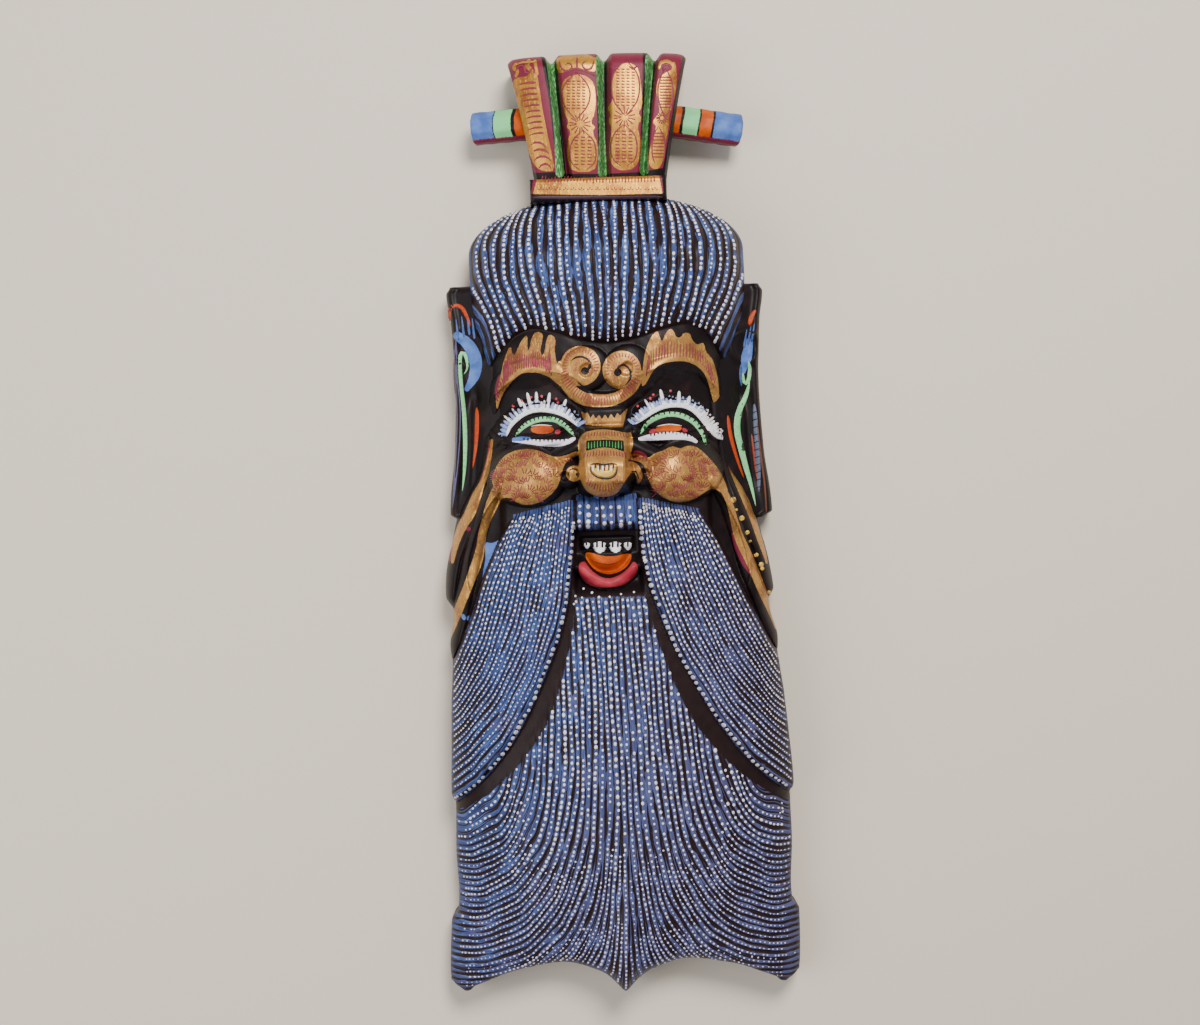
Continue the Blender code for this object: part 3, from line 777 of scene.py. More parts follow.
# %% [markdown]
# Hair is blue paint brushed along each strand, streaky and worn pale on the crests, over cuts that stay black.
# The cuts are wide in some places and nearly closed in others, so their width follows slow noise stretched
# along the strands. The strand number and the distance along it come from the mesh.
# %% Painted hair
def painted_hair(name):
    finish = Finish(name, Specular_IOR_Level=0.16)
    strand, run, finer = (finish.attribute(label) for label in ("strand", "run", "finer"))
    open_cut, place = finish.attribute("open_cut"), finish.place()
    whole = finish.maths("FLOOR", finer)
    count = strand * finish.maths("POWER", 2.0, whole)
    lane = finish.maths("ROUND", count)
    off_crest = finish.maths("ABSOLUTE", count - lane)
    width = finish.noise(finish.join(strand * 1.6, run * 0.05), 1.0, 3.0) - 0.5
    ragged = (finish.noise(finish.join(strand * 2.5, run * 0.35), 1.0, 3.0) - 0.5) * 0.16
    half = finish.maths("MAXIMUM", 0.48 - open_cut + width * 1.15 + ragged, 0.12)
    split = (finer - whole) * 0.5
    old_strand = finish.step(half * (1.0 - split) - off_crest, -0.02, 0.035)
    new_strand = finish.step(half * split - 0.53 + off_crest, -0.02, 0.035)
    blue_here = finish.maths("MAXIMUM", old_strand, new_strand)
    streak = finish.noise(finish.join(strand * 5.0, run * 0.12, lane * 1.3), 1.0, 4.0, 0.65)
    tone = finish.mix(finish.step(streak, 0.40, 0.62), BLUE_DEEP, BLUE)
    tone = finish.mix(finish.step(streak, 0.56, 0.74), tone, BLUE_PALE)
    tone = finish.mix(finish.step(finish.noise(place, 55, 2.0), 0.52, 0.72) * 0.55, tone, rgb(86, 84, 128))
    # Painted shade: towards the right side and the foot of the mask the blue is dulled to a greyish purple, standing in
    # for the weaker, warmer light there.
    x, y = (finish.node("SeparateXYZ", {}, {0: place}, out=axis) for axis in (0, 1))
    tone = finish.mix(finish.step(x - y * 0.5, -0.04, 0.12) * 0.6, tone, rgb(84, 80, 112))
    dark = finish.mix(finish.noise(place, 120), BLACK, BLACK_WARM)
    kept = finish.step(finish.attribute("black") + (finish.noise(place, 700, 2.0) - 0.5) * 1.6, -0.25, 0.35)
    cover = blue_here * (1.0 - kept)
    finish.to("Base Color", finish.mix(cover, dark, tone))
    finish.to("Roughness", 0.38 + cover * 0.12 + streak * 0.06)
    finish.bump(streak, 0.35, 0.0004)
    return finish.material


# %% [markdown]
# Brush lines and dots are paint too thick to lie flat, so they are little solids of paint with their own colour
# in the mesh. Their colour is a value on each stroke, and only a slight unevenness is added here.
# %% Thick paint
def thick_paint(name):
    finish = Finish(name, Specular_IOR_Level=0.35)
    paint = finish.attribute("paint", "Color")
    uneven = finish.noise(finish.place(), 800, 3.0)
    darker = finish.mix(1.0, paint, rgb(205, 200, 205), "MULTIPLY")
    finish.to("Base Color", finish.mix(finish.step(uneven, 0.45, 0.75), paint, darker))
    finish.to("Metallic", finish.attribute("metal") * 1.0)
    finish.to("Roughness", 0.42 + uneven * 0.12)
    return finish.material


thick = thick_paint("thick_paint")
print("finishes ready:", [m.name for m in bpy.data.materials])

# %% [markdown]
# ## Brush lines and dots as small solids
# A line of thick paint could be drawn in the shader, but it would blur where the mesh is coarse and would have
# no body. Each line is a strip that lies on the carving: its edges touch the wood, its top stands a fifth of a
# millimetre or more above, and it is closed below. A dot is a low dome made the same way.
# %% The painter
def run_along(path):
    """Distance run along a line, point by point."""
    return np.concatenate([[0], np.cumsum(np.hypot(*np.diff(path, axis=0).T))])


def at_share(path, t):
    """The place a share of the way along a line."""
    run = run_along(path)
    return np.array([np.interp(t * run[-1], run, path[:, i]) for i in (0, 1)])


class Painter:
    """Collects brush lines and dots over one surface and turns them into one mesh.

    Places are in the picture, in pixels, or on the mask, in millimetres, if seen is False.
    """

    def __init__(self, name, height, seen=True):
        self.name, self.height, self.seen = name, height, seen
        self.points, self.quads, self.triangles, self.colours, self.metal, self.count = [], [], [], [], [], 0
        self.taken = np.full((1, 2), 1e3)

    def add(self, points, quads, triangles, colours, metal):
        self.points.append(points)
        self.quads.append(np.asarray(quads) + self.count)
        self.triangles.append(np.asarray(triangles, int).reshape(-1, 3) + self.count)
        self.colours.append(np.broadcast_to(np.asarray(colours, float), (len(points), 4)))
        self.metal.append(np.full(len(points), float(metal)))
        self.count += len(points)

    def line(self, path, width, colour, metal=0.0, lift=0.2):
        """A brush line as wide as told along its path, with rounded ends: four points to each cross section."""
        path = rounded(path, closed=False) if len(path) > 2 else np.asarray(path, float)
        run = run_along(path)
        count = max(5, int(run[-1] / 3.2) + 2)
        t = (1 - np.cos(np.pi * np.linspace(0, 1, count))) / 2 if count < 9 else np.linspace(0, 1, count)
        u, v = np.interp(t * run[-1], run, path[:, 0]), np.interp(t * run[-1], run, path[:, 1])
        wide = np.interp(t, np.linspace(0, 1, np.size(width)), np.atleast_1d(width))
        wide = wide * np.sqrt(np.clip(1 - np.abs(2 * t - 1) ** 8, 0.08, 1)) / 2
        du, dv = np.gradient(u), np.gradient(v)
        size = np.maximum(np.hypot(du, dv), 1e-6)
        side = np.array([1.0, 0.6, -0.6, -1.0])
        across_u = u[:, None] + side * (wide * dv / size)[:, None]
        across_v = v[:, None] - side * (wide * du / size)[:, None]
        height = np.broadcast_to([-0.08, lift, lift, -0.08], across_u.shape)
        points = np.stack([across_u, across_v, height], axis=-1).reshape(-1, 3)
        first = np.arange(count - 1)[:, None] * 4
        strips = [first + np.array(quad) for quad in ((0, 1, 5, 4), (1, 2, 6, 5), (2, 3, 7, 6), (3, 0, 4, 7))]
        ends = np.array([[0, 3, 2, 1], [4 * count - 4, 4 * count - 3, 4 * count - 2, 4 * count - 1]])
        self.add(points, np.vstack(strips + [ends]), [], colour, metal)

    def dots(self, a, b, radius, colours, turn=0.0, stretch=1.0, metal=0.0):
        """Low domes: a top point, two rings of eight points and a flat base."""
        a, b, radius = (np.atleast_1d(np.asarray(value, float)) for value in (a, b, radius))
        turn, stretch = np.broadcast_to(turn, a.shape)[:, None], np.broadcast_to(stretch, a.shape)[:, None]
        angle = np.arange(8) * np.pi / 4
        reach = np.concatenate([[0.0], np.full(8, 0.62), np.full(8, 1.0)])
        ring = np.concatenate([[0.0], angle, angle])
        long, wide = reach * np.cos(ring) * stretch, reach * np.sin(ring)
        da = (long * np.cos(turn) - wide * np.sin(turn)) * radius[:, None]
        db = (long * np.sin(turn) + wide * np.cos(turn)) * radius[:, None] * (-1 if self.seen else 1)
        rise = np.concatenate([[0.45], np.full(8, 0.36), np.full(8, 0.0)])
        lift = rise * np.minimum(radius * (0.52 if self.seen else 1.0), 1.1)[:, None] - 0.08
        points = np.stack([a[:, None] + da, b[:, None] + db, lift], axis=-1).reshape(-1, 3)
        i = np.arange(8)
        j = (i + 1) % 8
        shift = (np.arange(len(a)) * 17)[:, None, None]
        cap = np.stack([np.zeros(8, int), 1 + i, 1 + j], axis=1) + shift
        base = [[9, 16, 15, 14], [9, 14, 13, 12], [9, 12, 11, 10]]
        wall = np.vstack([np.stack([1 + i, 9 + i, 9 + j, 1 + j], axis=1), base])
        colours = np.repeat(np.broadcast_to(np.asarray(colours, float), (len(a), 4)), 17, axis=0)
        self.add(points, (wall + shift).reshape(-1, 4), cap.reshape(-1, 3), colours, metal)

    def comb(self, low, high, count, width, colour, uneven=0.12):
        """Short lines side by side from one guide line to another, as a hatch."""
        low, high = rounded(low, closed=False), rounded(high, closed=False)
        for t in np.linspace(0.015, 0.985, count):
            foot, head = at_share(low, t), at_share(high, t)
            start = foot + (head - foot) * chance.uniform(0, uneven)
            stop = head - (head - foot) * chance.uniform(0, uneven)
            wide = width * chance.uniform(0.75, 1.2)
            self.line([start, stop], [wide, wide * 0.75], colour)

    def rays(self, path, centre, lengths, width, colour, first=0.01, last=0.99, lift=0.2):
        """Short lines that stand out from a path, away from a centre, as lashes do."""
        path = rounded(path, closed=False)
        for t, length in zip(np.linspace(first, last, len(lengths)), lengths):
            foot = at_share(path, t)
            away = (foot - centre) / np.hypot(*(foot - centre))
            self.line([foot, foot + away * length], [width, width, width * 0.6], colour, lift=lift)

    def lashes(self, path, tips, width, colour):
        """Strokes from the nearest place of a path out to each tip."""
        path = rounded(path, closed=False)
        for tip in np.array(tips, float):
            foot = at_share(path, float(gap_to(tip[0], tip[1], path)[1]))
            self.line([foot, tip], [width, width * 0.95, width * 0.75], colour, lift=0.35)

    def fan(self, u, v, size, count, turn, spread, colour, width=1.3):
        """A fan of short strokes that spread from one place; angles in degrees, turning left."""
        for angle in np.radians(turn + np.linspace(-spread, spread, count)):
            ray = np.array([math.cos(angle), -math.sin(angle)])
            self.line([(u, v) + ray * size * 0.3, (u, v) + ray * size], [width * 0.8, width], colour)

    def finish(self):
        """The mesh of everything painted so far, laid on the surface in one go."""
        a, b, lift = np.vstack(self.points).T
        x, y, z = on_surface(a, b, self.height) if self.seen else (a, b, self.height(a, b))
        faces = np.vstack(self.quads).tolist() + np.vstack(self.triangles).tolist()
        mesh = bpy.data.meshes.new(self.name)
        mesh.from_pydata(np.stack([x, y, z + lift], axis=-1) * MM, [], faces)
        metal = mesh.attributes.new("metal", "FLOAT", "POINT")
        metal.data.foreach_set("value", np.concatenate(self.metal).astype(np.float32))
        layer = mesh.attributes.new("paint", "FLOAT_COLOR", "POINT")
        layer.data.foreach_set("color", np.vstack(self.colours).astype(np.float32).ravel())
        mesh.shade_smooth()
        return dress(stand(self.name, mesh), thick)


# %% [markdown]
# ## Floor and light
# A plain pale floor, one broad soft lamp up beyond the crown and a weaker one at the side, and a pale sky. The
# light is set before the paint, because gold and gloss can only be judged under it.
# %% Stage
def lamp(name, place, size, watts, tint=(1.0, 1.0, 1.0)):
    light = bpy.data.lights.new(name, "AREA")
    light.shape, light.size, light.energy, light.color = "DISK", size, watts, tint
    holder = stand(name, light)
    holder.location = place
    holder.rotation_euler = (-Vector(place)).to_track_quat("-Z", "Y").to_euler()


lamp("key", (0.25, 0.65, 1.25), 0.5, 22, (1.0, 0.97, 0.93))
lamp("fill", (-0.9, -0.2, 1.0), 1.0, 9)
world = bpy.data.worlds.new("sky")
world.use_nodes = True
world.node_tree.nodes["Background"].inputs["Color"].default_value = (0.93, 0.95, 1.0, 1.0)
world.node_tree.nodes["Background"].inputs["Strength"].default_value = 0.42
bpy.context.scene.world = world

bpy.ops.mesh.primitive_plane_add(size=6, location=(0, 0, 0))
floor = bpy.context.object
floor.name = "floor"
ground = Finish("pale_floor", Base_Color=rgb(226, 214, 196), Roughness=0.7)
floor.data.materials.append(ground.material)
print("stage set")

# %% [markdown]
# ## Where the paint goes on the face
# The outlines below are places in the picture. Gold goes on first in broad shapes: the flaming brows, the curls
# over the nose with the band that hangs between them, the nose itself, the ball cheeks and the jaw ribbons.
# %% Shapes of the face
LEFT_BROW = [
    (497, 412), (495.5, 398), (498, 386), (501, 374), (504, 359), (510.5, 344), (513, 358), (518, 348), (522, 339),
    (528, 334), (527, 351), (530, 348), (531.5, 337), (536.5, 331), (543.5, 334), (542, 342), (540, 350), (542, 356),
    (545, 351), (546, 340), (549.5, 333.5), (556, 338), (554.5, 349), (556, 361), (564, 389), (556, 383),
    (549.5, 377), (538, 372.5), (524.5, 372.5), (518.5, 375), (510.5, 383), (504.5, 391.5), (500.3, 400),
]
RIGHT_BROW = [
    (641.5, 380), (643, 366), (645, 352), (650, 338), (657.5, 329.5), (660, 338), (662.5, 342), (665, 334), (670, 328),
    (674, 331), (676, 337), (680, 338), (684, 332.5), (690, 333), (692, 340), (697, 345), (701, 343), (704, 343),
    (706, 352), (710, 356), (713, 360), (717, 373), (719, 388), (719.5, 402), (723, 418), (724, 432), (717, 415),
    (712, 398), (708, 381),
    (703, 371), (694, 364), (684, 361), (672, 361.5), (662, 363.5), (655, 368), (650, 376), (646, 384), (642, 387),
]
COMB_MARK = [
    (580.5, 410), (585, 424.5), (604, 426.5), (623, 426.5), (628, 407.5), (622.5, 413), (620, 416), (617.5, 412.5),
    (614.5, 418.5), (611, 413.5), (608, 419), (605, 414), (602, 419.5), (599, 414.5), (596, 419), (593, 414),
    (590.5, 418), (587, 411.5), (585.5, 414),
]
LEFT_CHEEK = [
    (491, 480), (494, 471), (502, 457), (514, 450.5), (526, 448.5), (538, 450), (548.5, 455), (557, 457.5),
    (567, 455), (577.5, 450.5), (580, 455), (568, 460), (563.5, 466), (561, 477), (557.5, 487.5), (548.5, 497.5),
    (538, 503.5), (526, 505.5), (517.5, 503), (510.5, 498), (503, 497.5), (498, 502), (492, 498), (494, 487),
]
RIGHT_CHEEK = [
    (647, 459), (655, 453), (664, 450.5), (668, 447.5), (674, 446), (680, 449), (687, 445.5), (695, 446),
    (702, 450.5), (711, 460), (718, 468), (723, 477), (728, 489), (728, 499), (718, 489.5), (710, 489), (703, 493.5),
    (695, 499), (684.5, 502.5), (673, 502), (662, 497), (653, 489), (648.5, 480), (646, 470.5), (642, 462),
    (628, 459.5), (628, 454), (638, 453.5),
]
NOSE = [
    (579, 455), (577.5, 444), (580, 436), (586, 431.5), (600, 429), (613, 430), (626, 433), (631, 431.5),
    (633.5, 441), (632, 451), (627, 462), (632, 461), (639, 465), (643, 474), (641.5, 481), (637, 485), (637, 477),
    (633, 471), (628, 477), (622, 486), (618, 493), (610, 497), (598, 497), (587, 492), (582.5, 485), (580, 478),
    (574, 481), (567.5, 476), (567.5, 469), (574, 465.5), (579.5, 466.5),
]
LIP = [
    (578, 568), (580, 562), (585, 561), (590, 569), (600, 577), (610, 579), (622, 574), (630, 566), (633, 561),
    (638, 564), (638, 571), (633, 579), (625, 585), (612, 587.5), (598, 587.5), (587, 584), (580.5, 577),
]
TONGUE = [
    (584, 552.5), (592, 552.5), (600, 555.5), (609, 556.5), (618, 555.5), (625, 553.5), (632, 553.5), (631, 561),
    (624, 570), (610, 575), (597, 572), (588, 563),
]
shapes = {
    "gold": [
        shape(LEFT_BROW, 1), shape(RIGHT_BROW, 1), shape(COMB_MARK, 0),
        shape(LEFT_CHEEK), shape(RIGHT_CHEEK), shape(NOSE),
        disc((580.5, 366), 20), disc((621.8, 370), 19.3), disc((574, 473.5), 8),
        band(
            [
                (562, 366), (564, 380), (571, 391), (582, 399), (597, 401), (612, 400), (626, 393), (635, 384),
                (638, 374),
            ],
            [11, 12, 13, 13, 13, 12, 10],
        ),
        band(
            [
                (492, 440), (490, 456), (485, 478), (478, 492), (473, 506), (468.6, 516), (463, 524), (458, 536),
                (454.4, 547), (452.5, 562),
            ],
            [2.5, 3.5, 5, 5.5, 9.5, 11, 10, 8, 6.5, 3],
        ),
        band(
            [
                (497, 493), (493, 502), (489, 512), (485.5, 522), (482.5, 533), (480.8, 546), (478, 560), (473, 573),
                (467, 589), (460, 606), (453.5, 623), (449, 639),
            ],
            [13, 12, 9, 8, 8.5, 10, 10, 9, 9, 9, 7, 3],
        ),
        band(
            [
                (724, 439), (727, 456), (732, 470), (737, 481), (745, 499), (753, 518), (758.5, 536), (763.4, 550),
                (767, 563),
            ],
            [2, 3, 5, 6, 6.5, 6.5, 5.5, 4.5, 2],
        ),
        band(
            [
                (719, 484), (726, 494), (731, 507), (736, 528), (740, 540), (748.5, 557), (756, 575), (764, 595),
                (771.5, 614), (776, 628),
            ],
            [7, 6, 7, 9, 10, 9, 9, 8, 5, 2],
        ),
    ],
    "maroon": [
        shape([(496, 400), (494, 390), (499, 372), (504, 378), (501, 390)]),
        shape([(632, 457), (633, 450.5), (641, 450.5), (648, 456), (645, 460)]),
        band([(733, 534), (736.5, 548), (744, 562), (753, 577)], [3, 5, 6, 2]), band([(463, 527), (469, 529)], [5, 4]),
        band([(490, 441), (488, 457), (482.5, 478), (476, 491)], [2, 2.5, 3, 2]),
        band([(450.5, 545), (450, 560)], [4, 3]),
        band([(484, 518), (480, 531), (477.5, 545)], [2, 3.5, 2]),
        band([(738.5, 487), (748, 506), (755, 523)], [1.5, 2.5, 1.5]),
    ],
    "orange": [
        shape([(530, 427), (542, 425), (553.5, 427), (554, 432), (542, 434.5), (531.5, 432.5)]),
        shape([(654, 428), (668, 424), (682, 425.5), (681.5, 431), (668, 431.5), (656, 433)]),
        shape(TONGUE),
    ],
    "pink": [
        shape(LIP),
        shape([(554.5, 430), (560.5, 429), (560.5, 434), (555, 434.5)]),
        shape([(648, 431.5), (655, 427.5), (656, 433), (650, 434)]),
        shape([(682.5, 427), (688, 429.5), (687, 433), (682, 431.5)]),
    ],
    "white": [
        band(
            [(513.5, 440.5), (521, 441), (532, 442), (545, 443.2), (558, 443.4), (569, 441.5), (574, 438.5)],
            [3, 4.5, 5.5, 6.5, 7, 6, 3.5],
        ),
        band(
            [(640, 438.8), (650, 437.4), (660, 436.3), (672, 435.5), (684, 436.4), (691, 438.4), (696, 441.5)],
            [3.5, 6.5, 7.5, 8, 7.5, 6, 3.5],
        ),
    ],
    "blue": [
        band([(513.5, 439.5), (521, 438.8), (529, 438.5)], [3.5, 5, 3]),
        shape([(484, 541), (492, 544), (508, 535), (501, 556), (491, 578), (484, 594), (482, 575), (486, 558)]),
        band([(463, 616), (464, 618)], [4, 4]), band([(469, 618), (474, 628)], [5, 5]),
        shape([(503, 422), (508, 426), (506, 436), (501, 434)]),
        shape([(575, 419), (579, 421), (581, 427), (576, 427)]),
        band([(743, 600), (747, 606)], [5, 5]), band([(762, 633), (765, 639)], [5, 5]),
    ],
    "black": [
        shape(
            [
                (576, 379), (584, 386.5), (592, 387), (598, 383), (601, 377.5), (604, 383), (609, 389), (616, 390),
                (624, 387), (617, 392), (608, 394.5), (597, 394.5), (586, 391), (579, 385),
            ],
            1,
        ),
        shape(
            [
                (586.5, 440.5), (605, 439.5), (623.5, 440.5), (624.5, 452), (614, 448.5), (605, 447.5), (596, 448.5),
                (586, 451),
            ],
            0,
        ),
        disc((577.5, 474.3), 2), disc((585, 371), 4), disc((617.8, 372.3), 4),
    ],
}
values = painted(sheet, shapes)
x_abs = np.abs(across)
inner, outer = moustache_edges(along)
in_hair = along > hairline(across) + 0.4
in_wing = (x_abs > inner - 0.6) & (x_abs < outer + 0.6) & (along < moustache_top(across) + 0.5) & ~in_hair
in_beard = (x_abs <= inner - 0.6) & (along < -36) & ~in_hair
in_fringe = (x_abs <= inner - 0.6) & (along > -6) & (along < 14) & (nose(across, along) < 1.0)
in_face = ~in_hair & ~in_wing & ~in_beard & ~in_fringe
for paint in PAINTS:
    values[paint] = limited(values[paint] - 12 * np.clip(down - 0.05, 0, 1))
print("paint laid out over", along.size, "points")

# %% [markdown]
# ## Cutting the pieces
# Each quad goes to the piece that its first corner lies in. Hair also carries its strand number, the distance
# along the strand, and how far the cuts between the strands stand open, which grows towards the sides.
# %% Hair, face, moustache and beard
black_edges = {
    "hair": np.minimum(along - hairline(across), 8) - 1.2,
    "wing": np.minimum(x_abs - inner, (outer - x_abs) * 0.8) * 0.8 + 0.4,
    "beard": np.minimum(past_crease(across, along), (-36.5 - along) * 0.8),
    "fringe": np.minimum((along + 4.2) * 0.8 + 0.6, 3.0),
}
hair_values = {
    "hair": (cap_strand(across, along), -along, 0.185 + 0.07 * ramp(-along, -118, -98) + 0.03 * ramp(across, 10, 50)),
    "wing": (wing_strand(across, along), -along * 1.25, 0.11 + 0.12 * ramp(x_abs, 54, 82) + 0.05 * ramp(across, 0, 30)),
    "beard": (
        beard_strand(across, along), -along + x_abs * ramp(-along, 150, 210),
        0.13 + 0.03 * ramp(-along, 150, 220) + 0.04 * ramp(across, 10, 60),
    ),
    "fringe": (fringe_strand(across, along), -along, 0.02 + 0.22 * ramp(-along, -5, 5)),
}


def piece_from(name, chosen, finish, extra):
    """A piece of the sheet: the quads whose first corner is chosen."""
    return dress(put_mesh(name, sheet.reshape(-1, 3), quads[chosen[:-1, :-1]], extra), finish)


hair_finish = painted_hair("blue_hair")
face_finish = painted_wood("painted_face", 0.40, rgb(186, 136, 74), rgb(142, 92, 56))
for name, kind, chosen in (
    ("hair", "hair", in_hair), ("moustache_left", "wing", in_wing & (across < 0)),
    ("moustache_right", "wing", in_wing & (across >= 0)), ("beard", "beard", in_beard), ("fringe", "fringe", in_fringe),
):
    strand, run, cut = hair_values[kind]
    black = limited(np.maximum(1.0 - limited(black_edges[kind]), (down - 0.45) * 8))
    split = beard_finer(across, along) * (kind == "beard")
    extra = {"strand": strand, "run": run, "finer": split, "open_cut": cut, "black": black}
    piece_from(name, chosen, hair_finish, extra)
piece_from("face", in_face, face_finish, values)

# %% [markdown]
# ## The crown, its band, the hairpin and the ears
# The crown is a fan of four lobes with cuts between them, which the carver spaced by eye: the two middle lobes
# are broad and the last is narrow. It stands on a raised band. A hairpin with eight flat sides comes out on
# both sides. Each block is a grid for its front, rings for its sides and one flat plate behind.
# %% Height of the crown and the band
CROWN_FOOT, CROWN_TALL = 172.5, 67.5
LOBE_CUTS = (0.0, 0.245, 0.54, 0.825, 1.0)
BAND = (-36.0, 33.2, 162.4, 174.5)  # left, right, foot, top
BAND_ROUND = 2.5


def crown_half(up):
    """Half width of the crown: it widens upwards, a little faster near its top."""
    return (67 + 25 * np.clip(up, 0, 1) ** 1.15) / 2


def crown_front(share, up):
    """Height of the crown: a soft slope, less a cut between two lobes, rounded at the upper ends."""
    place = np.clip((share + 1) / 2, 0, 0.9999)
    lobe = np.searchsorted(LOBE_CUTS, place, side="right") - 1
    low, high = np.take(LOBE_CUTS, lobe), np.take(LOBE_CUTS, lobe + 1)
    off = np.abs(2 * (place - low) / (high - low) - 1)
    outer = ((lobe == 0) & (place < high / 2)) | ((lobe == 3) & (place > (low + 1) / 2))
    cut = np.where(outer, 3.6 * ramp(off, 0.75, 1.05), 7.2 * ramp(off, 0.68, 0.98)) + 1.1 * off**2
    top = np.clip((1 - up) * CROWN_TALL / 8, 0, 1)
    rounding = arch(1 - top)
    slope = 44 * (0.93 + 0.07 * np.sin(np.pi * up)) - 4 * np.abs(share) ** 3
    return (slope - cut) * (0.72 + 0.28 * rounding)


def crown_height(x, y):
    up = np.clip((y - CROWN_FOOT) / CROWN_TALL, 0, 1)
    return crown_front(np.clip(x / crown_half(up), -1, 1), up)


def band_height(x, y):
    """The band's front: nearly flat, and rounded off at its edges by a quarter circle."""
    inside = np.minimum(np.minimum(x - BAND[0], BAND[1] - x), np.minimum(y - BAND[2], BAND[3] - y))
    return 47 - BAND_ROUND * (1 - arch(1 - np.clip(inside / BAND_ROUND, 0, 1))) - 0.0006 * x**2


# %% Crown and band
def block_of(name, face, rings, lean, finish, shapes, floor=0.0, more=None):
    """A closed block: its front, its sides and one plate behind, with paint where the shapes say."""
    points, down = with_sides(face, rings, lean, floor)
    values = painted(points, shapes)
    for paint in PAINTS:
        values[paint] = np.where(down > 0.45, -FAR, values[paint])
    values.update(more(points, down) if more else {})
    rows, columns = down.shape
    cells = grid_quads(rows, columns).reshape(-1, 4)
    return dress(put_mesh(name, points.reshape(-1, 3), cells, values, [border_of(rows, columns)[::-1]]), finish)


GROOVES = [
    [(550, 58), (553, 90), (556.5, 125), (560, 173)], [(600, 59), (600, 90), (602, 130), (602.5, 173)],
    [(649.5, 58), (648, 90), (645, 130), (644, 171)],
]
crown_shapes = {
    "gold": [
        shape(
            [
                (511, 84), (515.5, 78), (528, 76), (536.5, 72), (539.5, 88), (542, 107), (547, 132), (552, 155),
                (555, 171), (544, 171.5), (536.5, 168), (531, 159), (523, 136), (517.5, 116.5),
            ],
            1,
        ),
        band([(516, 64), (513, 68), (518, 71), (516, 76)], [3, 3.5, 3]),
        band([(529, 61), (526, 66), (532, 70), (530, 75)], [4, 4.5, 4]),
        band([(535, 61), (537, 74)], [3, 3]),
        shape([(556, 54), (596, 53.5), (597, 72), (588, 71), (577, 67.5), (566, 73), (557, 73)], 1),
        shape(
            [
                (577, 74), (567, 77), (561.4, 84), (561, 97.5), (564, 112.5), (569, 122), (566, 127), (571, 131),
                (568, 140), (567, 152), (568, 163), (573, 172), (594, 172), (598, 159), (597.5, 143), (592, 131),
                (596, 127), (590.5, 123), (595, 112.5), (596, 97.5), (594, 83), (587, 76),
            ],
            1,
        ),
        shape(
            [
                (626, 62), (616, 68), (611.5, 77), (611, 91), (613, 100), (607, 108), (611, 114), (608, 121),
                (612, 128), (609, 147), (610, 162), (616, 169), (624, 171), (635, 168), (640, 158), (641, 140),
                (637, 126), (642, 119), (638, 112), (642.5, 107), (641.5, 90), (639, 69), (633, 64),
            ],
            1,
        ),
        shape(
            [
                (676, 62), (677, 86), (672.5, 105), (669, 116), (669, 124), (667.5, 133), (664, 155), (661, 166),
                (656, 170), (650, 167), (648.5, 160), (650, 146), (657, 127), (652, 122), (656, 117), (660, 111),
                (657.5, 99), (656, 88), (659, 77), (668, 71), (672, 70), (671, 62),
            ],
            1,
        ),
        band([(659, 68), (660, 62.5), (667, 60.5), (672, 64)], [2.5, 3.5, 3.5]),
    ],
    "maroon": [
        shape([(500, 50), (540, 50), (549, 100), (557.5, 172), (534, 173), (521, 140), (507, 90)], 0),
        shape([(556, 50), (596, 50), (599, 174), (566, 174)], 0),
        shape([(607, 50), (643, 50), (641, 172), (606, 174)], 0),
        shape([(656, 50), (684, 50), (673, 110), (663, 168), (647, 171)], 0),
    ],
    "green": [band(path, [8.5, 6, 6, 9]) for path in GROOVES],
}
share, up = np.meshgrid(np.linspace(-1, 1, 201), np.linspace(0, 1, 120))
notch = 2.8 * ramp(np.min([np.abs((share + 1) / 2 - c) for c in LOBE_CUTS[1:-1]], axis=0), 0.055, 0.0) ** 1.5 * up**8
notch = notch + 1.6 * np.abs(share) ** 26 * up**8
face = np.dstack([share * crown_half(up), CROWN_FOOT + up * CROWN_TALL - notch - share**2 * up, crown_front(share, up)])
crown_finish = painted_wood("painted_crown", 0.38)
block_of("crown_lobes", face, 6, 1.2, crown_finish, crown_shapes)

x, y = np.meshgrid(np.linspace(*BAND[:2], 110), np.linspace(*BAND[2:], 30))
band_shapes = {
    "gold": [shape([(538, 175.5), (600, 174.5), (659, 175.5), (662.5, 193.5), (600, 195), (533, 194)], 0)],
    "maroon": [shape([(534, 172), (661, 172), (664, 193), (531, 194)], 0)],
}
block_of("crown_band", np.dstack([x, y, band_height(x, y)]), 5, 0.5, crown_finish, band_shapes, 10.0)

# %% [markdown]
# The hairpin ends droop and lean back, as whittled sticks do. Their paint is bands round them, so it is laid out
# by the distance along the pin rather than by the view.
# %% Hairpin
PIN_ROOT = (28, 207, 24)
PIN_BANDS = {
    -1: {"orange": (0, 14), "mint": (15.8, 25), "blue": (25.4, 40)},
    1: {"orange": (0, 13.5), "mint": (15, 23), "orange_outer": (23.8, 30.2), "blue": (31.2, 48)},
}


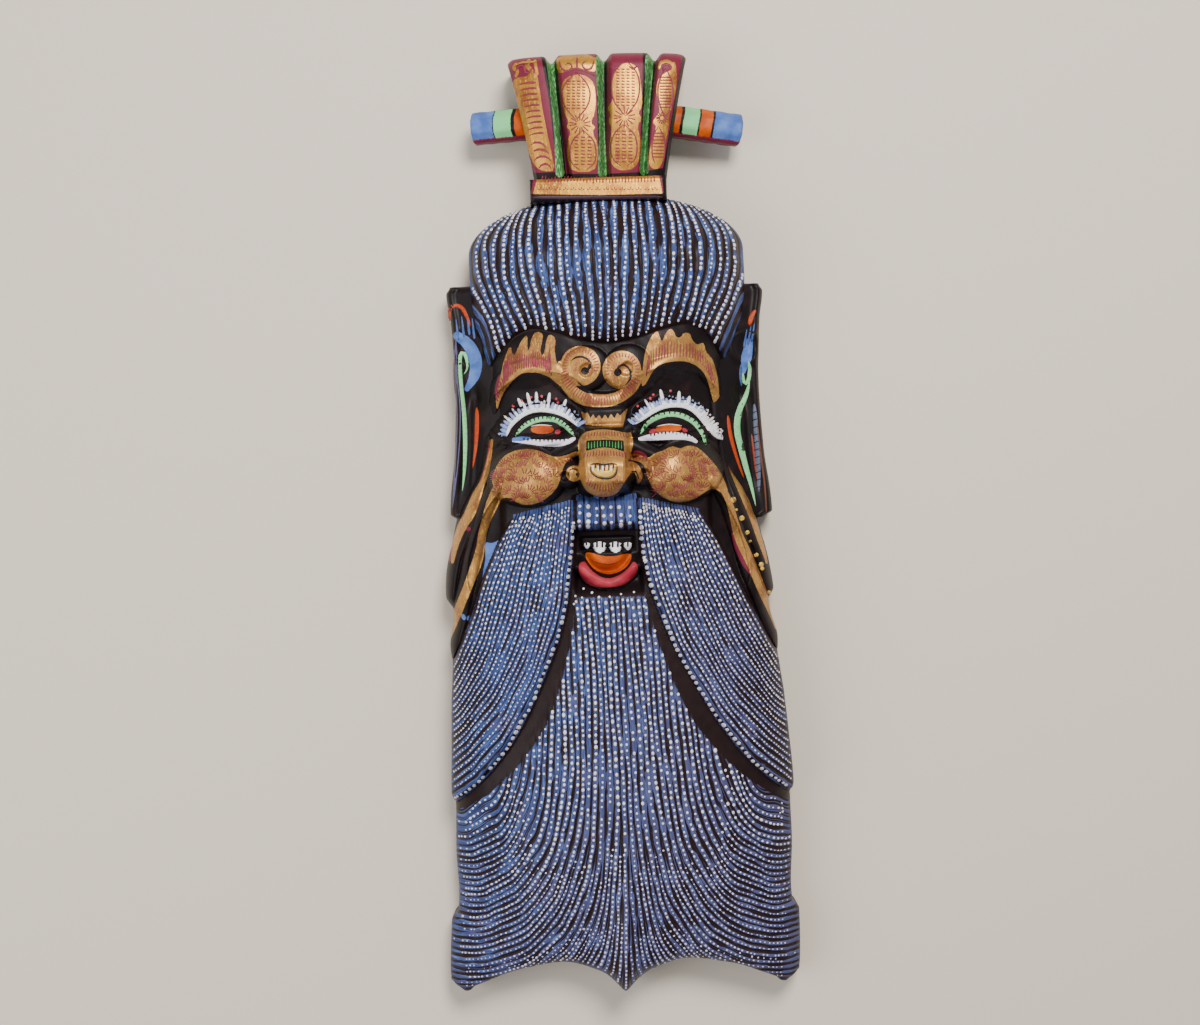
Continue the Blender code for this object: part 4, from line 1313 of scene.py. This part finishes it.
def hairpin(name, side, reach):
    """Rings of an eight-sided stick, r = a / cos(angle from the middle of a flat), with a chamfered end."""
    aim = np.array([side, -math.tan(math.radians(5 + 3 * side)), -math.tan(math.radians(10))])
    long = (reach - PIN_ROOT[0]) * np.linalg.norm(aim)
    aim /= np.linalg.norm(aim)
    first = np.array([0, 0, 1]) - aim[2] * aim
    first /= np.linalg.norm(first)
    second = np.cross(aim, first)
    stations = np.concatenate([np.linspace(0, long - 0.8, 60), [long]])
    angle, run = np.meshgrid(np.arange(48) * np.pi / 24 + 1e-6, stations)
    off_flat = (angle + np.pi / 8) % (np.pi / 4) - np.pi / 8
    radius = np.minimum(8.08 / np.cos(off_flat), 8.55) + 0.12 * np.sin(angle * 3 + run * 0.7)
    radius = np.where(run >= long, radius - 0.9, radius)
    points = np.array([side * PIN_ROOT[0], *PIN_ROOT[1:]]) + run[..., None] * aim
    points = points + (radius * np.cos(angle))[..., None] * first + (radius * np.sin(angle))[..., None] * second
    corner = np.arange(run.size).reshape(run.shape)
    after = np.roll(corner, -1, axis=1)
    cells = np.stack([corner[:-1], after[:-1], after[1:], corner[1:]], axis=-1).reshape(-1, 4)
    values = {paint: np.full(run.shape, -FAR) for paint in PAINTS}
    wobble = 0.5 * np.sin(angle * 2 + side)
    for mark, (start, end) in PIN_BANDS[side].items():
        paint = mark.split("_")[0]
        depth = limited(np.minimum(run + wobble - start, end - run - wobble))
        values[paint] = np.maximum(values[paint], depth)
    # Painted shade: the side of each pin that faces down the mask, where it lies in its own shadow, is painted dark
    # maroon, and the coloured bands stop short of it.
    facing = np.cos(angle) * first[1] + np.sin(angle) * second[1]
    values["maroon"] = limited((-facing - 0.78) * 12)
    for paint in ("orange", "mint", "blue"):
        values[paint] = np.minimum(values[paint], (facing + 0.80) * 8)
    plates = [corner[0][::-1].tolist(), corner[-1].tolist()]
    return dress(put_mesh(name, points.reshape(-1, 3), cells, values, plates), crown_finish)


hairpin("hairpin_left", -1, 65.0)
hairpin("hairpin_right", 1, 73.0)

# %% [markdown]
# The ears are boards that stand out from the head at a slant. The carver cut a rolled rim, a curl at the top and
# a long groove down the lobe into each.
# %% Ears
EAR_ROOT, EAR_OUT, EAR_LONG, EAR_LEAN = 52.0, 83.5, 121.0, math.tan(math.radians(24))
EAR_EDGE = [(0, 79), (0.03, 83.5), (0.1, 83), (0.3, 80), (0.6, 78.5), (0.85, 80), (0.97, 82), (1, 80)]
EAR_FOOT = {-1: 3.0, 1: 0.0}


def ear_front(across, up):
    """Height of an ear: a slanted board with a rim, a curl, a groove and rounded edges."""
    outer = smooth_through(up, EAR_EDGE)
    share = np.clip((across - EAR_ROOT) / (outer - EAR_ROOT) * 2 - 1, -1, 1)
    y = up * EAR_LONG
    rim = 2.4 * np.exp(-(((share - 0.86) / 0.16) ** 2))
    curl = 2.2 * np.exp(-(((np.hypot(across - 72, y - 88) - 7.5) / 2.6) ** 2))
    groove = 2.6 * np.exp(-(((share - 0.35) / 0.3) ** 2)) * ramp(y, 6, 22) * ramp(-y, -77, -63)
    fold = 0.9 * np.exp(-(((share - 0.30) / 0.09) ** 2)) * ramp(y, 12, 22) * ramp(-y, -74, -60)
    hole = 2.4 * np.exp(-(((across - 68) / 4) ** 2 + ((y - 63) / 6) ** 2))
    edge = np.minimum((1 - np.abs(share)) * (outer - EAR_ROOT) / 2, np.minimum(up, 1 - up) * EAR_LONG)
    rounding = 3.2 * (1 - arch(1 - np.clip(edge / 4, 0, 1)))
    return 5 + (EAR_OUT - across) * EAR_LEAN + 14 + rim + curl + fold - groove - hole - rounding


def ear_height(side):
    """The height function of one ear, for laying strokes on it."""
    def height(x, y):
        return ear_front(np.clip(side * x, EAR_ROOT, EAR_OUT), np.clip((y - EAR_FOOT[side]) / EAR_LONG, 0, 1))
    return height


ear_shapes = {
    -1: {"blue": [band([(457.5, 336), (469, 344), (476.5, 360), (475, 376), (467, 389)], [9, 12, 13, 11, 5])]},
    1: {"blue": [band([(749, 342), (747, 356), (743, 372)], [8, 11, 5])]},
}
for side, name in ((-1, "ear_left"), (1, "ear_right")):
    share, up = np.meshgrid(np.linspace(-1, 1, 60), np.linspace(0, 1, 230))
    across_ear = EAR_ROOT + (share + 1) / 2 * (smooth_through(up, EAR_EDGE) - EAR_ROOT)
    if side < 0:
        across_ear = across_ear[:, ::-1]
    face = np.dstack([side * across_ear, EAR_FOOT[side] + up * EAR_LONG, ear_front(across_ear, up)])
    behind = 5 + (EAR_OUT - across_ear) * EAR_LEAN
    block_of(name, face, 5, 0.6, crown_finish, ear_shapes[side], behind)

# %% [markdown]
# ## The back
# Nobody painted the hollow. It was cleared with a gouge in rows along the grain, so the wood shows shallow
# troughs side by side, with a flat rim round them that the mask rests on.
# %% Hollow and rim
def plain_wood():
    finish = Finish("raw_wood", Roughness=0.62)
    place = finish.place()
    grain = finish.noise(finish.stretched(place, 260, 14, 260), 1.0, 5.0, 0.6)
    rings = finish.noise(finish.stretched(place, 40, 3, 40), 1.0, 2.0)
    colour = finish.mix(finish.step(grain, 0.35, 0.7), rgb(122, 88, 60), rgb(84, 56, 38))
    finish.to("Base Color", finish.mix(finish.step(rings, 0.45, 0.65) * 0.5, colour, rgb(66, 44, 32)))
    finish.bump(grain, 0.3, 0.0005)
    return finish.material


def hollow(columns=130, rows=260, rings=5):
    """The hollow follows the block at the wall's thickness; troughs are |cos| waves 7 mm wide along it."""
    share, up = np.meshgrid(crowded_to_ends(columns), np.linspace(0, 1, rows))
    lowest, highest = foot_line(share * 0.9) + 22.4, cap_line(share * 0.86) - 34
    along = lowest + up * (highest - lowest)
    across = share * (half_width(along) - WALL) + middle(along)
    dome = arch(np.abs(share), FLAT_ARCH) * arch(np.abs(2 * up - 1), 7)
    trough = 0.9 * np.abs(np.cos(np.pi * across / 14 + 0.4 * np.sin(along / 19))) * ramp(dome, 0.05, 0.4)
    inner = np.dstack([across, along, (smooth_through(along, MIDDLE_HEIGHTS) - WALL) * dome - trough])
    edge_y = foot_line(share) + up * (cap_line(share) - foot_line(share))
    edge = np.dstack([share * half_width(edge_y) + middle(edge_y), edge_y, np.zeros_like(edge_y)])
    rim, down = with_sides(edge, rings, 2.0)
    padded = np.pad(inner, ((rings, rings), (rings, rings), (0, 0)), mode="edge")
    way = outside_by(*padded.shape[:2], rings)[..., None]
    return padded * (1 - way) + rim * way * [1, 1, 0]


inside = hollow()
cells = grid_quads(*inside.shape[:2]).reshape(-1, 4)[:, ::-1]
dress(put_mesh("hollow_back", inside.reshape(-1, 3), cells), plain_wood())

# %% [markdown]
# ## Thousands of dots
# A row of white dots runs down every strand. They were set by hand, so each row has its own spacing and size,
# no dot sits quite on the line, and here and there one is missing. The rows are walked by true length over the
# surface, so that they do not thin out where the block turns down at its sides.
# %% Rows of dots on the hair
NEVER = (900, 901)  # heights beyond the mask


def dot_rows(
    painter, place, strands, ends, pitch, size, allowed,
    stretch=1.15, side=1, finer=NEVER, calm=np.ones_like,
):
    """Dots along strands, a pitch apart. A row keeps its own pitch and size; each dot wavers a little.

    Below the first of the two heights in finer, the dots get smaller and closer until the second. A dot that
    would touch one of an earlier row, or of its own, is left out.
    """
    for strand in strands:
        y = np.linspace(*ends, 1500)
        x = side * steadied(place, strand, side * place(strand, y), y, calm(y))
        keep = allowed(x, y)
        if keep.sum() < 6:
            continue
        x, y = x[keep], y[keep]
        z = front(x, y)
        steps = np.sqrt(np.diff(x) ** 2 + np.diff(y) ** 2 + np.diff(z) ** 2)
        fine = 1 - 0.28 * ramp(-y, *finer)
        run = np.concatenate([[0], np.cumsum(np.minimum(steps, 2.5) / fine[1:])])
        own = pitch * chance.uniform(0.88, 1.14)
        at = np.arange(own * chance.uniform(0.2, 0.9), run[-1], own)
        at = at + chance.uniform(-0.12, 0.12, at.size) * own
        at = at[chance.random(at.size) > 0.02]
        if at.size == 0:
            continue
        dx, dy = np.gradient(x), np.gradient(y)
        px, py = np.interp(at, run, x), np.interp(at, run, y)
        turn = np.arctan2(np.interp(at, run, dy), np.interp(at, run, dx))
        px = px + chance.normal(0, 0.16, at.size)
        radius = size / 2 * chance.choice([0.80, 0.92, 1.0, 1.2]) * chance.uniform(0.84, 1.16, at.size)
        radius = radius * np.interp(at, run, fine) * (1 - 0.2 * ramp(np.abs(px), 40, 80) * ramp(-py, 100, 180))
        gap = np.hypot(px[:, None] - painter.taken[:, 0], py[:, None] - painter.taken[:, 1]).min(axis=1)
        own_gap = np.hypot(px[:, None] - px, py[:, None] - py)
        clear = (gap > size * 1.15) & ~np.triu(own_gap < size * 0.9, 1).any(axis=0)
        px, py, radius, turn = px[clear], py[clear], radius[clear], turn[clear]
        painter.taken = np.vstack([painter.taken, np.stack([px, py], axis=1)])
        # Painted shade: besides each dot's own random lilac, the dots turn more lilac towards the foot of the beard,
        # standing in for the duller light there.
        tone = (chance.uniform(0, 0.7, px.size) ** 1.5 + 0.6 * ramp(-py, 130, 235))[:, None].clip(0, 1)
        colours = np.array(WHITE) + (np.array(LILAC) - WHITE) * tone
        painter.dots(px + middle(py), py, radius, colours, turn, stretch * chance.uniform(0.9, 1.15, px.size))


def on_hair(x, y):
    share = np.abs(x) / half_width(y)
    return (y > hairline(x) + 1.0) & (y < cap_line(np.minimum(share, 1)) - 0.8) & (share < 0.985)


def on_wing(x, y):
    return (y < moustache_top(x) - 1.5) & (np.abs(x) < 0.985 * half_width(y)) & (y > -150)


def on_beard(x, y):
    share = np.abs(x) / half_width(y) + 0.045 * ((x > 0) & (np.abs(y + 152) < 10))
    clear = past_crease(x, y) > 0.9 + 2.6 * ramp(np.abs(x), 66, 80)
    return clear & (share < 0.992) & (y > foot_line(np.minimum(share, 1)) + 0.8) & (y < -38)


def on_fringe(x, y):
    return (y > -4.6) & (y < 10) & (np.abs(x) < 15.8) & (nose(x, y) < 1)


hair_dots = Painter("hair_dots", face_height, seen=False)
dot_rows(hair_dots, cap_place, range(-15, 16), (167, 72), 2.75, 1.45, on_hair)
hair_dots.finish()
for side, name, size in ((-1, "moustache_dots_left", 1.3), (1, "moustache_dots_right", 1.15)):
    wing_dots = Painter(name, face_height, seen=False)
    dot_rows(wing_dots, wing_place, [0.55], (6, -146), 3.3, 1.75, on_wing, 1.1, side)
    dot_rows(wing_dots, wing_place, range(2, WING_STRANDS), (10, -150), 3.1, size, on_wing, 1.25, side, (20, 80))
    wing_dots.finish()
beard_dots = Painter("beard_dots", face_height, seen=False)
dot_rows(beard_dots, beard_place, range(-26, 27), (-36, -240), 3.35, 1.6, on_beard, 1.15, 1, (130, 200), beard_calm)
for first, needed, reach in ((0.5, 0.55, 82), (0.25, 1.55, 55), (0.75, 1.55, 55)):
    def on_split(x, y):
        """Where the beard's strands have split often enough, not too far out."""
        near = (np.abs(x) < reach) | ((y < -168) & (np.abs(x) < 86))
        return on_beard(x, y) & near & (beard_finer(x, y) + 0.25 * np.sin(1.7 * x) > needed)

    split_off = [-26 + first + i for i in range(52)]
    dot_rows(
        beard_dots, beard_place, split_off, (-60, -240), 3.35, 1.45, on_split,
        1.15, 1, (130, 200), beard_calm,
    )
dot_rows(beard_dots, fringe_place, range(-4, 5), (11, -6), 3.9, 2.3, on_fringe, 1.0)
beard_dots.finish()

# %% [markdown]
# ## Brushwork on the face
# Fine lines now go over the flat shapes: lashes and lids round the eyes, hatching on brows and curls, little
# fans on the cheeks, bars and teeth on the nose, and dots of gold down the ribbons.
# %% Eyes
brush = Painter("face_brushwork", face_height)
LEFT_ARC = [
    (506.5, 436), (509, 428), (515, 420.5), (524, 413.5), (535, 409.5), (548, 410), (560, 413), (570, 418.5),
    (577, 425.5),
]
RIGHT_ARC = [
    (635, 424), (643, 418.5), (653, 411), (663, 406.5), (674, 404.5), (686, 405.5), (696, 411), (705, 420.5),
    (712, 430), (721, 439),
]
LEFT_MINT = [
    (515.5, 436), (521, 428.5), (529, 422.8), (539, 419.3), (548, 418.8), (556, 420), (564, 425), (570, 430.5),
    (574, 435.5),
]
RIGHT_MINT = [
    (640.5, 433.6), (645.6, 425), (655, 418), (665.4, 414.2), (677.5, 414.2), (687.8, 418), (696.4, 424),
    (702.5, 432.7), (705.9, 444.8),
]
SKY = rgb(150, 168, 214)
brush.rays(LEFT_ARC, (541, 446), [9, 8, 10] * 8, 4.4, SKY, 0.0, 1.0)
brush.rays(RIGHT_ARC, (676, 452), [9, 8, 10] * 9, 4.4, SKY, 0.0, 0.72)
brush.rays(RIGHT_ARC, (676, 452), [9, 7, 8] * 4, 3.6, WHITE, 0.68, 1.0)
brush.line(LEFT_ARC, [4, 5.5, 5.5, 5, 4], WHITE, lift=0.35)
brush.line(RIGHT_ARC, [4, 5.5, 5.5, 6, 8, 10], WHITE, lift=0.35)
brush.lashes(
    LEFT_ARC,
    [
        (503.7, 415.5), (512, 408.4), (522.2, 401.4), (531.9, 401.4), (541.7, 401.4), (544.5, 400), (555.8, 404),
        (560.1, 405), (569.9, 409), (573.1, 414), (577.4, 421),
    ],
    3.2, WHITE,
)
brush.lashes(LEFT_ARC, [(517.8, 398.2), (527.1, 392.7), (536.2, 391.9), (549.7, 392.7), (566.2, 399.3)], 4.3, WHITE)
brush.lashes(
    RIGHT_ARC,
    [
        (634.9, 415.5), (639.2, 409.7), (644.7, 399.3), (651.2, 403), (665.3, 401.4), (670.7, 399), (685.4, 400),
        (695.6, 403.6), (701, 406), (714, 417), (719.5, 422), (723.2, 430),
    ],
    3.3, WHITE,
)
brush.lashes(RIGHT_ARC, [(660.3, 389.5), (679.3, 391), (689.8, 396), (708.6, 409.5)], 4.6, WHITE)
for mint, eye in ((LEFT_MINT, (543, 440)), (RIGHT_MINT, (674, 444))):
    brush.line(mint, [4, 6, 6, 6, 4.5], MINT, lift=0.3)
    brush.rays(mint, eye, [4.5, 5.0] * 9, 1.7, BLACK, 0.02, 0.98, lift=0.55)
for rim in (
    [(524, 437.6), (534, 438.4), (545, 439.2), (557, 439.2), (568, 437.4)],
    [(651, 433.6), (661, 431.6), (672, 430.8), (683, 431.8), (691, 434.6)],
):
    brush.rays(rim, (rim[2][0], 100), [2.6, 3.4, 2.2] * 4, 1.8, BLACK, 0.0, 1.0, lift=0.3)
brush.line([(531, 426.3), (540, 424.6), (552, 425.8)], [0.8, 1.3, 0.8], IVORY, lift=0.3)
brush.line([(656.5, 426.5), (668, 423.9), (682, 425.6)], [0.8, 1.3, 0.8], IVORY, lift=0.3)
for u, v in (
    (513, 406), (521.5, 400.5), (531, 397.5), (541.5, 396.3), (556, 399), (558, 402),
    (653.4, 394.9), (650.4, 398.3), (637.5, 406), (670.6, 391),
):
    brush.dots(u, v, 1.7, PINK)

# %% Brows and curls
brush.comb(
    [(503, 388), (510, 379), (518, 371), (527, 368), (538, 368), (547, 372), (552, 377)],
    [(503, 364), (510, 350), (519, 353), (527, 354), (536, 348), (544, 357), (550, 348)],
    26, 1.7, MAROON,
)
brush.comb([(531, 367.5), (541, 368), (549, 372)], [(531, 357), (541, 357), (551, 357)], 8, 2.3, rgb(168, 60, 76), 0.2)
brush.comb([(498, 402), (500, 392), (504, 384)], [(495.5, 396), (497, 386), (501, 377)], 6, 2.2, MAROON)
brush.comb(
    [(646, 378), (650, 370), (657, 363), (668, 358.5), (682, 358), (694, 359), (703, 365), (709, 375), (714, 390)],
    [(647, 360), (652, 345), (660, 347), (669, 338), (679, 345), (689, 340), (698, 349), (708, 357), (716, 378)],
    30, 1.4, MAROON,
)


def circle(u, v, radius, start, stop):
    """Places round a circle; angles in degrees, turning left as seen."""
    angle = np.radians(np.linspace(start, stop, max(6, int(abs(stop - start) / 14))))
    return np.stack([u + radius * np.cos(angle), v - radius * np.sin(angle)], axis=-1)


brush.comb(circle(580.5, 366, 13.5, -20, 215), circle(580.5, 366, 19, -20, 215), 22, 1.5, RED_BROWN, 0.1)
brush.comb(circle(583.5, 368, 6.5, -60, 200), circle(583.5, 368, 10.5, -60, 200), 15, 1.2, rgb(176, 90, 78), 0.1)
brush.comb(circle(622, 370, 13, -60, 200), circle(622, 370, 18, -60, 200), 22, 1.5, RED_BROWN, 0.1)
brush.comb(circle(619, 371.5, 5.5, -20, 240), circle(619, 371.5, 9.5, -20, 240), 13, 1.2, rgb(176, 90, 78), 0.1)
brush.line(
    [(571, 361), (575, 357.4), (581, 356.4), (587, 358.4), (590.5, 363), (589.6, 368), (585.5, 371)],
    [1.0, 2.4, 2.2, 2.4, 3.2, 4], BLACK, lift=0.35,
)
brush.line(
    [(617.5, 372), (617.8, 366.5), (623, 364), (628.5, 367.4), (631.4, 373), (630, 380), (625, 385.5)],
    [4, 2.2, 2.2, 2.4, 2.4, 1.0], BLACK, lift=0.35,
)
brush.comb(
    [(567, 369), (573, 381), (583, 390), (594, 395.5), (606, 396.5), (619, 391), (628, 384), (633, 376)],
    [(557, 373), (564, 388), (576, 401), (592, 407), (607, 407), (622, 402), (635, 392), (641, 380)],
    34, 1.5, RED_BROWN, 0.2,
)

# %% Nose and cheeks
brush.comb([(588, 449.5), (605, 446.5), (622, 449.5)], [(588, 441), (605, 440), (622, 441)], 12, 1.5, rgb(60, 150, 70))
brush.comb([(583, 458.5), (605, 455.5), (627, 458.5)], [(585, 451.5), (605, 449.5), (625, 451.5)], 15, 1.4, MAROON)
brush.comb([(584, 438), (605, 435.5), (628, 438)], [(586, 432.5), (605, 430.5), (626, 432.5)], 15, 1.2, MAROON)
grin = [(590.5, 464.5), (590.5, 472), (596, 477), (605, 479), (613, 478), (617, 473), (617, 464.5)]
brush.line([(593, 468.5), (598, 472.5), (605, 474.5), (612, 473), (615, 468)], [7, 8, 8, 8, 6], GOLD_LIGHT, 0.3)
brush.line(grin, [1.4, 1.8, 1.8, 1.4], BLACK, lift=0.3)
brush.line(
    [(590, 464.5), (597, 463.5), (604, 465), (611, 463.5), (617.5, 464.5)], [1.6, 2.2, 1.6, 2.2, 1.6], BLACK,
    lift=0.3,
)
for u in (595.5, 600, 605, 609, 613.5):
    brush.line([(u, 464.5), (u - 0.5, 471)], [2.2, 0.9], BLACK, lift=0.3)
for u in (593, 598, 602.7, 611.3):
    brush.line([(u, 466), (u, 471.5)], [2.6, 2.0], IVORY, lift=0.25)
brush.comb(
    [(586, 484), (592, 490), (603, 493), (613, 491), (619, 484)],
    [(589, 478), (596, 482.5), (604, 484), (612, 482.5), (617, 478)], 13, 1.2, MAROON,
)
brush.line(circle(573.5, 474, 5.4, -60, 200), [1.2, 1.8, 1.2], BLACK)
brush.line([(630, 475), (633, 470), (637, 472), (638.5, 479)], [1.2, 1.8, 1.4], BLACK)
for middle_u, middle_v, wide in ((526, 478, 30), (682, 476, 31)):
    for row, lift_v in enumerate(np.linspace(-0.9, 0.9, 6)):
        reach = math.sqrt(1 - lift_v**2) * 0.92 + 0.05
        for share_u in np.arange(-reach + 0.12 * (row % 2), reach, 0.30):
            u = middle_u + share_u * wide + chance.uniform(-2, 2)
            v = middle_v + lift_v * 22 + 2 + chance.uniform(-2, 2)
            tint = rgb(*np.array([124, 44, 50]) + chance.uniform(-10, 24, 1))
            count, turn = int(chance.integers(4, 8)), 90 - 60 * share_u + chance.uniform(-40, 40)
            brush.fan(u, v, 8.5, count, turn, 50, tint, 1.25)
brush.comb([(556, 462), (562, 459), (570, 457)], [(558, 468), (564, 464), (573, 461)], 6, 1.3, MAROON)
brush.comb([(630, 456), (640, 455), (650, 458)], [(630, 461), (641, 461), (649, 464)], 7, 1.3, MAROON)

# %% Mouth and ribbons
for u, v, wide, tall in ((587, 545.7, 6.5, 6.5), (599.7, 547.3, 14, 11.5), (615.6, 547.2, 13.5, 11), (628, 546, 9, 8)):
    brush.line([(u, v - tall / 2), (u, v + tall / 2)], [wide, wide, wide * 0.6], WHITE, lift=0.5)
for u, deep in ((586.4, 2.5), (597, 5), (602.3, 5), (612.7, 5), (617.9, 5), (627.8, 4)):
    brush.line([(u, 540.5), (u, 543 + deep)], [2.6, 2.2], BLACK, lift=1.0)
brush.line([(590, 559), (600, 563.5), (611, 564), (622, 560)], [1.2, 2.2, 1.2], rgb(160, 60, 30))
for u, v, radius in (
    (733.3, 499.7, 3.3), (736.6, 509.6, 1.5), (742, 518, 3.0), (747.5, 532.3, 2.4), (750.3, 541.3, 1.7),
    (756.4, 554.8, 2.5),
    (761.2, 564.5, 3.0), (762.2, 568.5, 2.4), (769.2, 592.3, 2.2),
):
    brush.dots(u, v, radius, GOLD_LIGHT, metal=0.3)
for u, v, radius in (
    (567, 584, 1.4), (583.5, 588.5, 1.3), (592, 592.5, 1.5), (567, 594, 1.4), (575.5, 596, 1.3), (582, 597.5, 1.2),
    (574, 604, 1.4),
    (599, 597, 1.5), (609.5, 596.8, 1.4), (644, 606.3, 1.5), (621, 594, 1.2), (634, 592, 1.3),
):
    brush.dots(u, v, radius, WHITE)
brush.finish()

# %% [markdown]
# ## Brushwork on the crown and the ears
# The lobes carry pointed medallions with beaded rows down their middles, drawn in maroon over the gold. The
# band is hatched. The ears have long flame strokes in blue, mint and orange.
# %% Crown
gilder = Painter("crown_brushwork", crown_height)
for i in range(10):
    t = i / 15
    left = np.array([515, 84]) + t * np.array([20, 84])
    right = np.array([536, 82.5]) + t * np.array([13, 84])
    gilder.line([left + (1.5, 1.5), (left + right) / 2 - (0, 0.6), right], [1.0, 2.2, 2.9], MAROON)
for u, v, wide in ((537, 142, 8.5), (540, 149, 9), (542.5, 156, 8.5), (545, 163.5, 6)):
    scale = [(u - wide, v + 5), (u - wide * 0.6, v + 1), (u, v), (u + wide * 0.7, v + 1.5), (u + wide, v + 5)]
    gilder.line(scale, [1.4, 3.2, 1.6], MAROON)
for u, half, top, foot in ((576, 14, 78, 112), (625.5, 14, 66, 108), (665.5, 7.5, 74, 110)):
    for out in (u - half, u + half):
        gilder.line([(u, top - 6), (out, top + 8), (out, foot - 8), (u, foot + 8)], [1.2, 1.9, 1.5], MAROON)
    for offset in (-0.55, -0.18, 0.18, 0.55):
        for v in np.arange(top + 3, foot - 1, 3.0):
            gilder.line([(u + offset * half - 1.8, v), (u + offset * half + 1.8, v + 0.4)], [1.7, 1.4], MAROON)
for u, half, top, foot in ((583, 13, 134, 170), (624, 13, 128, 166), (658.5, 6.5, 130, 164)):
    for out, end in ((u - half, u - 3), (u + half, u + 3)):
        gilder.line([(u, top - 4), (out, top + 8), (out, foot - 7), (end, foot)], [1.2, 1.8, 1.3], MAROON)
    for offset in (-0.5, 0.0, 0.5):
        for v in np.arange(top + 3, foot - 4, 3.4):
            gilder.line([(u + offset * half - 2.2, v), (u + offset * half + 2.2, v + 0.3)], [1.8, 1.4], MAROON)
for u, v, size in ((580, 124, 11), (624.5, 117, 11), (662, 118, 6)):
    gilder.fan(u, v, size, 14, 0, 172, MAROON, 1.6)
for path in (
    [(559, 60), (561, 69), (568, 72), (573, 67), (569, 62), (565, 65)],
    [(594, 60), (592, 69), (585, 70), (581, 64), (586, 61)],
    [(577, 57), (577, 70)], [(560, 76), (566, 71), (576, 68), (586, 71), (595, 76)],
    [(515, 72), (519, 65), (525, 66), (524, 72), (529, 74), (533, 66)], [(610, 66), (614, 70), (619, 66)],
    [(663, 72), (663, 65), (669, 63), (672, 68), (668, 71)], [(637, 66), (633, 70), (629, 66)],
):
    gilder.line(path, [1.6, 2.6, 1.5], MAROON)
gilder.line([(514, 66), (520, 62.5), (528, 62), (536, 61.5)], [1.5, 2.2, 1.4], GOLD, 0.5)
gilder.finish()

trim = Painter("band_brushwork", band_height)
trim.comb([(540, 183.5), (600, 184), (656, 183.5)], [(541, 175.5), (600, 175), (656, 175.5)], 36, 1.7, MAROON, 0.3)
for u in np.linspace(541, 655, 15):
    trim.fan(u, 190.5, 3.6, 3, 90, 60, MAROON, 1.1)
trim.line([(532, 197.2), (600, 198), (663, 197.2)], [4.4, 4.4, 4.4], rgb(58, 32, 48))
trim.finish()

# %% Ears
flame = Painter("left_ear_brushwork", ear_height(-1))
flame.line(
    [(449.6, 321), (449.6, 308.7), (452, 305.5), (460.7, 305.5), (466.3, 315), (470.3, 326)], [3, 4.5, 4.5, 3],
    ORANGE,
)
for u, v in ((456, 334), (461.5, 331), (467, 329), (472, 333)):
    flame.line([(u, v - 15), (u + 1, v - 6), (u + 2.5, v + 6)], [1.4, 2.6, 3.4], BLUE)
flame.line(
    [(456, 339), (455, 375.6), (459, 407.5), (458.3, 439.4), (456, 471), (452.5, 508)], [3, 4.5, 5, 5, 4, 2],
    rgb(90, 84, 122),
)
flame.line(
    [
        (464, 374), (467.9, 369), (466.3, 356.5), (462.5, 351), (459.5, 357), (460.7, 382), (464, 407.5),
        (465.5, 439.4), (464.7, 471), (462.3, 491),
    ],
    [3, 4.5, 4.5, 4.5, 5, 5, 4, 2], MINT,
)
flame.line([(476.7, 407.5), (477, 423), (475.9, 447), (472.7, 468)], [4.5, 5, 4, 2], ORANGE)
flame.finish()
flame = Painter("right_ear_brushwork", ear_height(1))
flame.line([(757, 420), (760, 450), (765, 485), (766.5, 515)], [1.6, 2.6, 2.6, 1.6], rgb(104, 58, 40))
flame.line([(749.4, 325), (751.8, 315), (755.8, 310)], [5, 6, 4], ORANGE)
for u, v in ((745, 343), (749, 340), (752.5, 337)):
    flame.line([(u + 2, v - 14), (u + 0.5, v - 5), (u - 1, v + 5)], [1.3, 2.4, 3.2], BLUE)
flame.line([(741, 365), (740.6, 375), (741.5, 386)], [2.5, 4, 2], BLUE)
flame.line([(743, 373), (743.5, 383), (747.8, 384), (750.2, 370), (748.5, 361)], [3, 4.5, 4.5, 3], MINT)
flame.line(
    [(749.4, 382), (746.2, 396), (738.2, 412), (736.7, 430), (740.6, 447), (746.2, 468), (751, 484), (755.8, 506)],
    [4, 6, 7.5, 7.5, 7, 6, 4, 2], MINT,
)
flame.line([(727.9, 415.5), (730.3, 436), (736.7, 458), (743.8, 478)], [4, 4.5, 3.5, 2], ORANGE)
flame.line([(754.2, 404), (756, 430), (758, 462), (759, 492)], [5, 6.5, 6, 4], rgb(96, 104, 128))
for v in np.arange(412, 490, 7.5):
    u = 754.2 + (v - 404) * 0.055
    flame.line([(u - 3, v + 1), (u + 3, v - 1)], [1.2, 1.2], BLACK, lift=0.3)
flame.line([(751.5, 434), (754, 456), (757, 479)], [2.5, 3, 2], rgb(150, 60, 40))
flame.finish()
